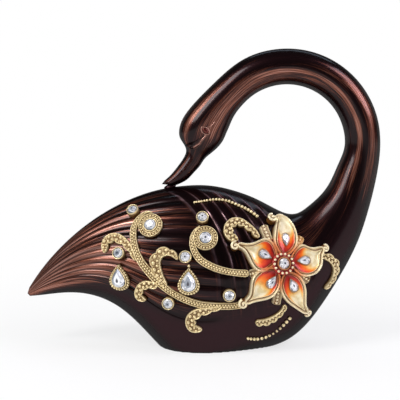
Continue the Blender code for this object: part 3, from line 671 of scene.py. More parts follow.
def quads(index: Array) -> Array:
    """The four-cornered faces of a grid of point numbers."""
    corners = [index[:-1, :-1], index[1:, :-1], index[1:, 1:], index[:-1, 1:]]
    return np.stack(corners, axis=-1).reshape(-1, 4)


def wrapped(index: Array) -> Array:
    """A grid of point numbers whose rows close on themselves."""
    return np.concatenate([index, index[:, :1]], axis=1)


def tube(path: Array, out: Array, radii: Array, sides: int) -> Shell:
    """A round bar along a path: at each point, a ring that spans the side and the way out.

    Args:
        path: the points of its middle.
        out: the way out at each point.
        radii: its radius at each point.
        sides: how many points a ring has.

    Returns:
        The closed bar.
    """
    ahead = unit(np.gradient(path, axis=0))
    side = unit(np.cross(ahead, out))
    lift = np.cross(side, ahead)
    spoke = side[:, None] * circle(sides)[:, 1:] + lift[:, None] * circle(sides)[:, :1]
    return Shell.rings(path[:, None] + radii[:, None, None] * spoke)


def ball(centre: Array, axes: Array, sides: int, rows: int) -> Shell:
    """A closed egg: rings that shrink as the cosine of their height.

    Args:
        centre: its middle.
        axes: three half axes as rows, the last its poles.
        sides: points in a ring.
        rows: rings between its poles.

    Returns:
        The closed egg.
    """
    height = np.linspace(-math.pi / 2, math.pi / 2, rows + 2)[1:-1, None, None]
    flat = circle(sides)[:, 1:] * axes[0] + circle(sides)[:, :1] * axes[1]
    rings = centre + np.cos(height) * flat + np.sin(height) * axes[2]
    return Shell.rings(rings, ends=np.stack([centre - axes[2], centre + axes[2]]))


def tipped(pitch: float) -> Array:
    """Ways ahead, aside and up as rows, tipped down at the front by the pitch."""
    return np.array([
        [math.cos(pitch), 0, -math.sin(pitch)], [0, 1, 0], [math.sin(pitch), 0, math.cos(pitch)],
    ])


def circle(sides: int) -> Array:
    """The unit circle as an outline, from its top to the right and round."""
    turn = 2 * math.pi * np.arange(sides) / sides
    return np.stack([np.sin(turn), np.cos(turn)], axis=-1)


@dataclass(frozen=True)
class Plumage:
    """The carving of the body: convex flutes that fan out from the tail, and quills that sweep down
    from the back with a hollow vane between each two."""

    flutes: int = 11
    top: float = math.radians(85)
    bottom: float = math.radians(-20)
    flute_depth: float = 0.0012
    groove_power: float = 1.6
    full_girth: float = 0.03
    start: float = 0.1156
    start_fade: float = 0.012
    quills: int = 7
    pitch: float = 0.0124
    quill_depth: float = 0.0012
    vane_floor: float = 0.55
    vane_share: float = 0.85
    leaning: float = 0.058
    lean_rise: float = 0.085
    quill_width: float = 0.0011
    crest_width: float = 0.0007

    @property
    def end(self) -> float:
        """Where the last vane ends."""
        return self.start + self.pitch * (self.quills - 0.5)

    def lean_pattern(self, angle: Array) -> Array:
        """How far on a leaning ring lies: 0 on the back, most at the lowest flute, 0 at the keel."""
        down = np.abs((angle - math.pi / 2 + math.pi) % (2 * math.pi) - math.pi)
        lowest = math.pi / 2 - self.bottom
        rising = np.sin(np.minimum(down, math.pi / 2))
        return np.minimum(rising, (math.pi - down) / (math.pi - lowest))

    def place(self, label: Array, angle: Array, breast_end: float) -> Array:
        """Where a point of a leaning ring lies along the skin."""
        lean = np.minimum(
            smooth_step((label - self.start + self.lean_rise) / self.lean_rise),
            smooth_step((breast_end - label) / (breast_end - self.end)),
        )
        return label + lean * self.leaning * self.lean_pattern(angle)

    def above_keel(self, angle: Array, length: float) -> Array:
        """0 below the lowest flute, and 1 from a length above it."""
        return smooth_step((np.sin(angle) - math.sin(self.bottom)) / length)

    def off_quill(self, label: Array) -> tuple[Array, Array]:
        """How many quills past the first a point lies, and how far off the nearest one."""
        wing = (label - self.start) / self.pitch
        return wing, np.abs(wing - np.round(wing)) * self.pitch

    def depth(self, label: Array, angle: Array, girth: Array) -> Array:
        """How deep the carving is.

        A flute is a round rib between two sharp grooves: the depth rises as a power of the way
        from its crest. A vane is deepest half way between two quills, and falls off steeply from
        each quill's thin crest. The flutes run on over the vanes as faint barbs.

        Args:
            label: where the point's ring starts along the skin.
            angle: the angle round the skin.
            girth: half the width of the casting there.

        Returns:
            The depth below the smooth skin.
        """
        turned = np.where(np.cos(angle) < 0, math.pi - angle, angle)
        turned = (turned + math.pi) % (2 * math.pi) - math.pi
        across = (self.top - turned) / (self.top - self.bottom) * self.flutes
        crest = np.abs(2 * (across % 1) - 1)
        fluted = smooth_step(across / 0.5) * smooth_step((self.flutes - across) / 0.5)
        rib = (1 - crest) ** self.groove_power * fluted
        tail = 1 - smooth_step((label - self.start) / self.start_fade + 0.5)
        flute = self.flute_depth * np.minimum(1, girth / self.full_girth) * rib * tail
        wing, quill = self.off_quill(label)
        hollow = smooth_step(2 * quill / self.pitch)
        vane = smooth_step(quill / self.quill_width)
        vane = vane * (self.vane_floor + (1 - self.vane_floor) * hollow)
        on_wing = smooth_step((wing + 0.1) * 5) * (1 - smooth_step((label - self.end) / 0.008 + 0.5))
        flank = smooth_step((np.abs(np.cos(angle)) - 0.22) / 0.65) * self.above_keel(angle, 0.4)
        carved = self.vane_share * vane + (1 - self.vane_share) * rib
        return flute + self.quill_depth * on_wing * flank * carved

    def wing(self, label: Array, angle: Array) -> tuple[Array, Array]:
        """How much each point belongs to the wing, and how much painted highlight lies on the crest of
        a quill, more of it high up and on the sides.
        """
        wing, off = self.off_quill(label)
        within = smooth_step((wing + 0.5) * 2) * (1 - rise(label, self.end, 0.012))
        crest = bell(off, self.crest_width) * (wing > -0.4) * (label < self.end)
        fading = rise(np.sin(angle), -0.1, 0.8) * rise(np.abs(np.cos(angle)), 0.15, 0.3)
        return within * self.above_keel(angle, 0.3), crest * fading


@dataclass
class SwanBody:
    """The lacquered casting: tail, body, looped neck, head and bill, cut flat underneath."""

    skin: Skin
    plumage: Plumage = Plumage()
    tail_rings: int = 56
    quill_rings: int = 13
    breast_rings: int = 42
    neck_pitch: float = 0.0026
    head_pitch: float = 0.0009
    flute_points: int = 8
    keel_points: int = 26
    eye_place: Triple = (-0.0086, 0.0116, 0.183)
    eye_radii: Triple = (0.0037, 0.0018, 0.0023)
    eye_pitch: float = math.radians(40)
    joint_place: Triple = (-0.0385, 0.0, 0.1345)
    joint_radii: Triple = (0.0052, 0.0036, 0.0022)
    joint_pitch: float = math.radians(-14)
    eye_size: Triple = (0.8, 0.55, 0.8)
    lid_size: Pair = (1.05, 1.1)
    lid_points: int = 49
    lid_radius: float = 0.00045
    mask_line: tuple = (
        (-0.0075, 0.1795), (-0.0105, 0.176), (-0.0135, 0.1715), (-0.018, 0.1685), (-0.026, 0.169),
    )
    mask_depth: float = 0.001
    mask_step: float = 0.0009
    mask_fade: float = 0.009
    mask_shine_width: float = 0.0008
    brow_line: tuple = ((-0.0068, 0.1858), (-0.004, 0.1872), (-0.0012, 0.1905))
    brow_radii: Pair = (0.00055, 0.00025)
    brow_pitch: float = 0.0004
    face: float = 0.028

    def angles(self) -> Array:
        """Angles of a ring's points: close together on the flutes, wide apart below."""
        plume = self.plumage
        flutes = np.linspace(math.pi / 2, plume.bottom, plume.flutes * self.flute_points + 6)
        keel = np.linspace(plume.bottom, -math.pi / 2, self.keel_points + 1)[1:]
        left = np.concatenate([flutes, keel])
        return np.concatenate([left, -math.pi - left[-2:0:-1]])

    def labels(self) -> Array:
        """Where the rings lie, before they lean."""
        plume, skin = self.plumage, self.skin
        tail = np.linspace(0, 1, self.tail_rings + 1)[:-1] ** 1.2 * plume.start
        wing = np.arange(plume.quills * self.quill_rings) / self.quill_rings * plume.pitch + plume.start
        breast = np.linspace(wing[-1], skin.neck_start, self.breast_rings + 1)[1:]
        runs = [tail, wing, breast]
        for start, end, pitch in (
            (skin.neck_start, skin.head_start, self.neck_pitch),
            (skin.head_start, skin.length, self.head_pitch),
        ):
            runs.append(np.linspace(start, end, round((end - start) / pitch) + 1)[1:])
        return np.concatenate(runs)

    def skin_shell(self) -> tuple[Shell, Tones]:
        """The carved skin, its points below the base drawn up to it, and its grain.

        Returns:
            The shell, and for each point where it lies in the grain of the lacquer: the way along
            the casting with the angle round it as a point on a circle, and its place in the wing.
        """
        skin = self.skin
        label, angle = np.meshgrid(self.labels(), self.angles(), indexing="ij")
        along = self.plumage.place(label, angle, skin.neck_start)
        along = np.where(label < skin.neck_start, along, label)
        girth = skin.spline(label)[..., 4]
        depth = self.plumage.depth(label, angle, girth)
        points = skin.points(along, angle)
        depth = depth + self.head_depth(points, along)
        points = points - depth[..., None] * skin.normals(along, angle)
        points[..., 2] = np.maximum(points[..., 2], 0)
        ends = np.array([[TAIL_TIP[0], 0, TAIL_TIP[1]], [BEAK_TIP[0], 0, BEAK_TIP[1]]])
        wing, quill = self.plumage.wing(label, angle)
        shallow = self.plumage.flute_depth * np.clip(girth / self.plumage.full_girth, 0.2, 1)
        tones = {
            # groove: how deep the carving is, which the lacquer paints dark as shade.
            "groove": depth / np.where(label < self.plumage.start, shallow, self.plumage.flute_depth),
            "wing": wing,
            # quill: where a painted highlight lies on each quill's crest.
            "quill": quill,
            # pearl: the copper share, with painted shade on the neck and a painted highlight on the
            # tail.
            "pearl": self.pearl(label, angle, wing),
            "line": self.mask_shine(points, along),
        }
        shell = Shell.rings(points, tones, ends)
        grain = np.stack([along, np.cos(angle), np.sin(angle)], axis=-1).reshape(-1, 3)
        barb = np.stack([label, angle, 0 * label], axis=-1).reshape(-1, 3)
        tips = np.array([[0, 1, 0], [skin.length, 1, 0]])
        return shell, {"grain": np.concatenate([grain, tips]), "barb": np.concatenate([barb, tips])}

    def pearl(self, label: Array, angle: Array, wing: Array) -> Array:
        """How much copper pearl the lacquer shows: 1, and a painted highlight over the upper tail, less
        what dims it.

        The keel is bare, and the flank fades out towards the wing, most of all low down. The spine of
        the back and the bill are darker. On the neck two dark bands of painted shade run along it, one
        at the side and one inside the loop, and painted shade falls on the far lower side of its arch.

        Args:
            label: where the point's ring starts along the skin.
            angle: the angle round the skin.
            wing: how much the point belongs to the wing.

        Returns:
            The share of pearl at each point.
        """
        skin, plume = self.skin, self.plumage
        upward = np.sin(angle)
        neck = rise(label, skin.neck_start - 0.055, 0.06)
        tail = 1 - rise(label, 0.03, 0.07)
        keel = smooth_step((math.sin(plume.bottom) + 0.25 - 0.45 * tail - upward) / 0.3)
        keel = keel * rise(label, 0, 0.03) * (0.88 - 0.6 * rise(label, plume.end, 0.06))
        fading = 0.34 * rise(label, 0.05, 0.07)
        late = 0.3 * rise(label, 0.088, 0.025) * smooth_step(0.6 - 1.2 * upward)
        body = np.maximum(np.maximum(keel, fading + late), 0.55 * wing)
        arch = (label - skin.neck_start) / (skin.head_start - skin.neck_start)
        # Painted shade on the far lower side of the arch, and two painted dark bands along the neck.
        arch_shade = 0.5 * bell(arch - 0.66, 0.2) * smooth_step(0.3 - 1.4 * upward)
        bands = 0.18 * bell(upward + 0.1, 0.2) + 0.26 * rise(upward, 0.4, 0.35)
        bands = bands * rise(arch, -0.15, 0.3) * smooth_step((1.25 - arch) / 0.2)
        bill = 0.22 * rise(label, skin.length - 0.055, 0.012)
        # A painted highlight on the upper side of the tail.
        tail_highlight = 0.2 * tail * rise(upward, -0.4, 0.4)
        spine = 0.5 * (1 - neck) * (1 - rise(np.abs(np.cos(angle)), 0, 0.4)) * (upward > 0)
        dimmed = spine + 0.1 * neck + bill + np.maximum(arch_shade, bands) + (1 - neck) * body
        return np.clip(1 + tail_highlight - dimmed, 0, 1.3)

    def on_head(self, along: Array) -> Array:
        """0 on the neck and 1 on the head."""
        return rise(along, self.skin.head_start, 0.01)

    def mask_shine(self, points: Array, along: Array) -> Array:
        """How brightly the edge of the forehead shines where it overhangs the bill."""
        off = off_line(points[..., 0], points[..., 2], self.mask_line[:-1])
        return self.on_head(along) * bell(off, self.mask_shine_width) * (points[..., 2] > 0.15)

    def head_depth(self, points: Array, along: Array) -> Array:
        """The step where the forehead overhangs the bill, fading out down the bill."""
        across, up = points[..., 0], points[..., 2]
        off = off_line(across, up, self.mask_line)
        first, last = self.mask_line[0], self.mask_line[-1]
        slope = (last[1] - first[1]) / (last[0] - first[0])
        below = first[1] + slope * (across - first[0]) - up
        side = np.clip(np.abs(points[..., 1]) / 0.004, 0, 1)
        step = smooth_step(off / self.mask_step) * np.exp(-off / self.mask_fade) * (below > 0) * side
        reach = (across < first[0] + 0.003) * (up > 0.15)
        return self.mask_depth * self.on_head(along) * step * reach

    def eye_shells(self) -> list[Shell]:
        """On each side an almond ball, a lid drawn round it as a thin bar, and a brow line."""
        ahead, aside, up = tipped(self.eye_pitch)
        radii = np.array(self.eye_radii)
        turn = np.linspace(0, 2 * math.pi, self.lid_points)
        wide = np.cos(turn) * radii[0] * self.lid_size[0]
        tall = np.sin(turn) * np.abs(np.sin(turn)) ** 0.25 * radii[2] * self.lid_size[1]
        lid = wide[:, None] * ahead + tall[:, None] * up
        spots, _ = even_route(self.brow_line, self.brow_pitch)
        shells = []
        for side in (-1, 1):
            centre = np.array(self.eye_place) * (1, side, 1)
            long, thick, high = radii * self.eye_size
            axes = np.stack([ahead * long, up * high, side * aside * thick])
            eye = ball(self.beside_head(centre[None], side).place[0], axes, 24, 12)
            brow = np.stack([spots[:, 0], np.full(len(spots), centre[1]), spots[:, 1]], axis=-1)
            shells += [
                eye.toned(eye=1, pearl=1),
                self.drawn(centre + lid, side, np.full(self.lid_points, self.lid_radius)),
                self.drawn(brow, side, np.linspace(*self.brow_radii, len(spots))),
            ]
        return shells

    def beside_head(self, path: Array, side: int) -> Seats:
        """The seats next to a path on the skin of the head, on its left side at -1, its right at 1."""
        start = np.full(len(path), self.skin.head_start + self.face)
        turn = np.full(len(path), 0.0 if side < 0 else math.pi)
        return self.skin.settle(path, start, turn, np.ones(3), self.skin.far_rounds)

    def drawn(self, path: Array, side: int, radii: Array) -> Shell:
        """A thin bar on the skin of the head, along a path drawn beside it."""
        seats = self.beside_head(path, side)
        return tube(seats.place, seats.out, radii, 8).toned(line=1, pearl=1)

    def joint_shell(self) -> Shell:
        """The fillet where the tip of the bill is cast onto the back."""
        axes = tipped(self.joint_pitch) * np.array(self.joint_radii)[:, None]
        return ball(np.array(self.joint_place), axes, 32, 15)

    def build(self) -> tuple[Shell, Tones]:
        """The whole casting and its grain."""
        shell, vectors = self.skin_shell()
        whole = Shell.joined([shell, *self.eye_shells(), self.joint_shell()])
        middle = np.array([self.skin.head_start, 1.0, 0.0])
        rest = np.tile(middle, (len(whole.points) - len(shell.points), 1))
        return whole, {name: np.concatenate([part, rest]) for name, part in vectors.items()}


@dataclass
class Relief:
    """A cast strip on the skin: a band of points to both sides of its route, pressed to the skin
    and raised from it by a section."""

    skin: Skin
    strip: Strip
    width: float
    height: float
    pitch: float = 0.00026
    columns: int = 35
    blunt: float = 1.0
    least_rounding: float = 0.0005
    end_width: float = 0.05
    ground: float = 0.28
    edge_shade: float = 0.1

    def __post_init__(self) -> None:
        """Seat the route, find the way across at each of its points, and round off its ends."""
        self.spots, self.run = even_route(self.strip.route, self.pitch)
        self.seats = self.skin.seen(self.spots)
        ahead = unit(np.gradient(self.seats.place, axis=0))
        self.across = unit(np.cross(self.seats.out, ahead))
        self.share = self.run / self.run[-1]
        self.halves = spread(self.strip.widths, self.share) * self.width / 2
        rounding = np.maximum(self.blunt * self.halves, self.least_rounding)
        from_end = np.minimum(np.minimum(self.run, self.run[-1] - self.run) / rounding, 1)
        rounded = np.sqrt(from_end * (2 - from_end))
        self.halves = self.halves * np.maximum(rounded, self.end_width)
        self.half = self.halves[:, None]
        self.side = np.linspace(-1, 1, self.columns)[None]

    def lay(self, reach: Array) -> Seats:
        """Seats of points that reach so far to the right of each point of the route."""
        targets = self.seats.place[:, None] + self.across[:, None] * reach[..., None]
        along = np.broadcast_to(self.seats.along[:, None], reach.shape)
        angle = np.broadcast_to(self.seats.angle[:, None], reach.shape)
        return self.skin.near(targets, along, angle)

    def slab(self, reach: Array, height: Array, tones: Tones) -> Shell:
        """The closed strip, its top raised by the section and its underside sunk in the carving."""
        seats = self.lay(reach)
        top = seats.place + seats.out * (SEAT_GAP + height)[..., None]
        bottom = seats.place - seats.out * SUNK
        return Shell.slab(top, bottom, tones)

    def gilding(self, dots: Array, rims: Array, edge: Array) -> Array:
        """The tone of the gilding: light on rims and dots, and painted shade along the very edge."""
        # The very edge, where the piece meets the skin, is painted dark as shade.
        return np.maximum(dots, rims ** 0.5) * (self.edge_shade + (1 - self.edge_shade) * edge)


@dataclass
class Stem(Relief):
    """A scroll's stem: two thin rims and two staggered rows of granules between them."""

    rim: float = 0.00056
    granule: float = 0.00102
    spacing: float = 2.3
    row_place: float = 0.29
    floor: float = 0.5
    granule_height: float = 0.45
    furrow_place: float = 2.3
    furrow_shade: float = 0.8

    def shell(self) -> Shell:
        """A section with a round rim at an even distance from either edge, and round granules on its
        floor, in rows to both sides of the middle that repeat at a little over two radii."""
        side, half = self.side, self.half
        reach = side * half
        inset = half * (1 - np.abs(side))
        rims = hump(inset - self.rim, self.rim)
        edge = smooth_step(inset / (0.5 * self.rim))
        pitch = self.spacing * self.granule
        nearest = np.full(reach.shape, np.inf)
        for row, offset in ((-self.row_place, 0.0), (self.row_place, 0.5)):
            ahead = (self.run[:, None] + offset * pitch) % pitch - pitch / 2
            nearest = np.minimum(nearest, np.hypot(ahead, reach - row * half) / self.granule)
        bumps = hump(nearest, 1.0)
        relief = np.maximum(self.floor + self.granule_height * bumps, rims)
        # Painted shade in the furrow inside each rim.
        furrow = self.furrow_shade * bell(inset - self.furrow_place * self.rim, 0.5 * self.rim)
        tone = self.gilding(ringed(nearest, bumps, self.ground) * (1 - furrow), rims, edge)
        return self.slab(reach, self.height * relief * edge, {"relief": tone})


@dataclass
class Leaf(Relief):
    """A scroll's leaf: its outer edge scalloped, a rim along either edge, and two rows of bosses,
    each row given by its place in half widths, the size of its bosses and its step ahead."""

    ground: float = 0.4
    inward: float = 0.68
    outward: float = 1.22
    floor: float = 0.46
    rim: float = 0.00064
    rim_height: float = 0.85
    boss: float = 0.00155
    boss_height: float = 0.5
    widest_boss: float = 0.38
    rows: tuple[Triple, ...] = ((0.36, 1.0, 0.0), (-0.34, 0.85, 0.5))

    def shell(self) -> Shell:
        """Each scallop is the outer half of a sine. The rims follow the edges at an even distance,
        and the bosses lie two to a scallop in either row, half a step apart."""
        side, half = self.side, self.half
        phase = (self.share * self.strip.scallops)[:, None]
        wave = np.abs(np.sin(math.pi * phase)) ** 0.7
        swell = np.where(side > 0, self.inward + (self.outward - self.inward) * wave, 1)
        reach = side * half * swell
        inset = half * swell * (1 - np.abs(side))
        rims = hump(inset - 1.4 * self.rim, 1.1 * self.rim)
        edge = smooth_step(inset / (0.6 * self.rim))
        pitch = self.run[-1] / self.strip.scallops / 2
        nearest = np.full(reach.shape, np.inf)
        for place, size, offset in self.rows:
            radius = np.minimum(self.boss * size, self.widest_boss * half)
            ahead = ((2 * phase + offset) % 1 - 0.5) * pitch
            nearest = np.minimum(nearest, np.hypot(ahead, reach - place * half) / radius)
        bosses = hump(nearest, 1.0)
        relief = np.maximum(self.floor + self.boss_height * bosses, rims * self.rim_height)
        tall = self.height * (0.85 + 0.15 * swell)
        tone = self.gilding(ringed(nearest, bosses, self.ground), rims, edge)
        return self.slab(reach, tall * relief * edge, {"relief": tone})


@dataclass
class BeadRow(Relief):
    """A row of beads that grow along it, on a thin wire where it is strung."""

    sink: float = 0.25
    fullness: float = 0.98
    strung: bool = True
    crowding: float = 1.15
    wire: float = 0.42
    wire_tone: float = 0.1

    def shell(self) -> Shell:
        """A ball at each share of the route, further apart along it, and sunk by a quarter of its
        height."""
        shares = np.linspace(0, 1, self.strip.scallops) ** self.crowding
        picks = np.round(shares * (len(self.spots) - 1)).astype(int)
        sizes = spread(self.strip.widths, self.share) * self.width / 2 * self.fullness
        beads = []
        for i in picks:
            out, side = self.seats.out[i], self.across[i]
            centre = self.seats.place[i] + out * (SEAT_GAP + sizes[i] * (1 - self.sink) * 0.75)
            axes = np.stack([side, np.cross(out, side), out]) * sizes[i]
            beads.append(ball(centre, axes, 14, 7).toned(relief=1))
        if self.strung:
            wire = tube(self.seats.place, self.seats.out, self.wire * self.halves, 8)
            beads.append(wire.toned(relief=self.wire_tone))
        return Shell.joined(beads)


@dataclass
class Mount:
    """A flat place on the skin, with the way up and the way out of it."""

    skin: Skin
    spot: Pair
    aim: Pair = (0.0, 1.0)

    def __post_init__(self) -> None:
        """Seat the spot and turn the aim into the place's own up and right."""
        seats = self.skin.seen(np.array(self.spot))
        self.along, self.angle = seats.along[0], seats.angle[0]
        self.place, self.out = seats.place[0], seats.out[0]
        aim = np.array([self.aim[0], 0, self.aim[1]])
        self.up = unit(aim - self.out * (aim @ self.out))
        self.right = np.cross(self.up, self.out)

    def axes(self, radius: float) -> Array:
        """The ways right, up and out as rows, each as long as the radius."""
        return np.stack([self.right, self.up, self.out]) * radius

    def points(self, flat: Array, height: Array) -> Array:
        """Points from steps to the right and up, and heights above the seat."""
        lift = np.broadcast_to(np.asarray(height, float), flat.shape[:-1])[..., None]
        beside = flat[..., :1] * self.right + flat[..., 1:] * self.up
        return self.place + beside + self.out * (SEAT_GAP + lift)

    def sunk(self, flat: Array) -> Array:
        """The same steps, pressed to the skin and sunk in it."""
        targets = self.points(flat, 0.0)
        shape = targets.shape[:-1]
        seats = self.skin.near(targets, np.full(shape, self.along), np.full(shape, self.angle))
        return seats.place - seats.out * SUNK

    def turned(self, outline: Array, half: Array, reach: Array, height: Array, tones: Tones) -> Shell:
        """A turned or drop-shaped piece: the outline at each reach past its half sizes, at each
        height, over a foot that is sunk in the skin.

        Args:
            outline: the outline, one half wide and one half long each way.
            half: its half width and half length.
            reach: how far each ring reaches past that.
            height: the height of each ring, or of each of its points.
            tones: values for each point of the rings.

        Returns:
            The closed piece.
        """
        flat = (half + reach[:, None, None]) * outline
        rows = np.concatenate([self.sunk(flat[:1]), self.points(flat, height)])
        tones = {name: np.concatenate([tone[:1] * 0, tone]) for name, tone in tones.items()}
        return Shell.rings(rows, tones)


def aimed(skin: Skin, spot: Pair) -> Mount:
    """A place on a petal, whose way up points to the middle of the flower."""
    return Mount(skin, spot, (FLOWER_PLACE[0] - spot[0], FLOWER_PLACE[1] - spot[1]))


def drop(sides: int, half: Pair) -> Array:
    """A drop's outline, its point up: the sine narrowed towards the top by a power of the sine of
    half the turn, read at even lengths round its edge.

    Args:
        sides: how many points it has.
        half: the half width and half length that it will be drawn with.

    Returns:
        The outline, one half wide and one half long each way.
    """
    slenderness, samples = 1.1, 2001
    turn = np.linspace(0, 2 * math.pi, samples)
    across = np.sin(turn) * np.abs(np.sin(turn / 2)) ** slenderness
    line = np.stack([across / np.abs(across).max(), np.cos(turn)], axis=-1)
    length = lengths(line * half)
    even = np.arange(sides) / sides * length[-1]
    return np.stack([np.interp(even, length, line[:, i]) for i in range(2)], axis=-1)


@dataclass
class Cup:
    """A setting: a wall round a bore that holds a stone. Its flange, if it has one, carries bands
    of beads, each given by its place on the flange, its number and its radius."""

    mount: Mount
    outline: Array
    half: Pair
    flange: float
    height: float
    depth: float
    bands: Bands = ()
    rim: float = 0.0
    flange_height: float = 0.34
    flange_slope: float = 0.1
    rim_places: Pair = (0.9, 0.24)
    rim_width: float = 0.1
    rim_height: float = 0.42
    bead_height: float = 0.4
    ground: float = 0.28
    flange_steps: int = 33

    def shell(self) -> Shell:
        """Rings from the flange's edge inward, over the wall and down the bore. Each ring of the
        wall is a reach, a share of the height and a tone."""
        sides = len(self.outline)
        outer, bevel = BORE_GAP + WALL, WALL / 3
        steps = self.flange_steps if self.flange else 0
        share = np.linspace(1, 0, steps + 1)[:-1]
        cup = np.array([
            (outer, 0.55, 0.2), (outer, 0.88, 0.8), (outer - bevel, 1.0, 1.0),
            (BORE_GAP + bevel, 1.0, 1.0), (BORE_GAP, 0.92, 0.8),
            (BORE_GAP, 1 - self.depth / self.height, 0.0),
        ])
        first, second = (hump(share - place, self.rim_width) for place in self.rim_places)
        rims = self.rim * np.maximum(first, second)
        slope = self.flange_height + self.flange_slope * (1 - share)
        low = np.maximum(slope, self.flange_height + self.rim_height * rims)
        low = (low * smooth_step((1.02 - share) / 0.05))[:, None]
        nearest = self.nearest_bead(share, sides)
        beads = hump(nearest, 1.0)
        tone = np.maximum(ringed(nearest, beads, self.ground), rims[:, None])
        wall, wall_tone = (np.repeat(cup[:, i:i + 1], sides, axis=1) for i in (1, 2))
        reach = np.concatenate([outer + self.flange * share, cup[:, 0]])
        height = np.concatenate([low + self.bead_height * beads, wall]) * self.height
        tones = {"relief": np.concatenate([tone, wall_tone])}
        return self.mount.turned(self.outline, np.array(self.half), reach, height, tones)

    def nearest_bead(self, share: Array, sides: int) -> Array:
        """How far each point of the flange lies off the nearest bead's middle, in its radii."""
        turn = np.arange(sides) / sides
        result = np.full((len(share), sides), np.inf)
        for place, count, radius in self.bands:
            line = self.outline * (np.array(self.half) + BORE_GAP + WALL + self.flange * place)
            around = np.linalg.norm(line - np.roll(line, 1, axis=0), axis=1).sum()
            ahead = ((turn * count) % 1 - 0.5) * around / count
            aside = (share - place) * self.flange
            result = np.minimum(result, np.hypot(ahead[None], aside[:, None]) / radius)
        return result


@dataclass
class Stone:
    """A foil-backed stone: a girdle, a crown of facets turned half a step between rows, a table with a
    dark spot."""

    mount: Mount
    outline: Array
    half: Pair
    floor: float
    height: float
    spot: float = 0.0
    rows: Route = ((-0.12, 0.0), (0.0, 0.3), (0.0, 0.4), (-0.27, 0.74), (-0.52, 1.0))
    turned_row: int = 3
    turned_size: float = 1.03

    def shell(self) -> Shell:
        """The rows of the cut, each a reach in half widths and a share of the height; the turned
        row lies between the corners of the others."""
        cut, half = np.array(self.rows), np.array(self.half)
        reach = cut[:, :1, None] * half[0]
        height = self.floor + BORE_GAP + cut[:, 1:] * self.height
        between = (self.outline + np.roll(self.outline, -1, axis=0)) / 2
        flat = (half + reach) * self.outline
        flat[self.turned_row] = (half + reach[self.turned_row]) * between * self.turned_size
        rows = self.mount.points(flat, np.repeat(height, len(self.outline), axis=1))
        ends = self.mount.points(np.array([[0, 0], [0, self.spot * half[1]]]), height[[0, -1], 0])
        shell = Shell.rings(rows, ends=ends)
        spots = np.zeros(len(shell.points))
        spots[-1] = 1
        quad = shell.faces[0]
        halves = np.concatenate([quad[:, [0, 1, 2]], quad[:, [0, 2, 3]]])
        return Shell(shell.points, [halves, *shell.faces[1:]], {"spot": spots})


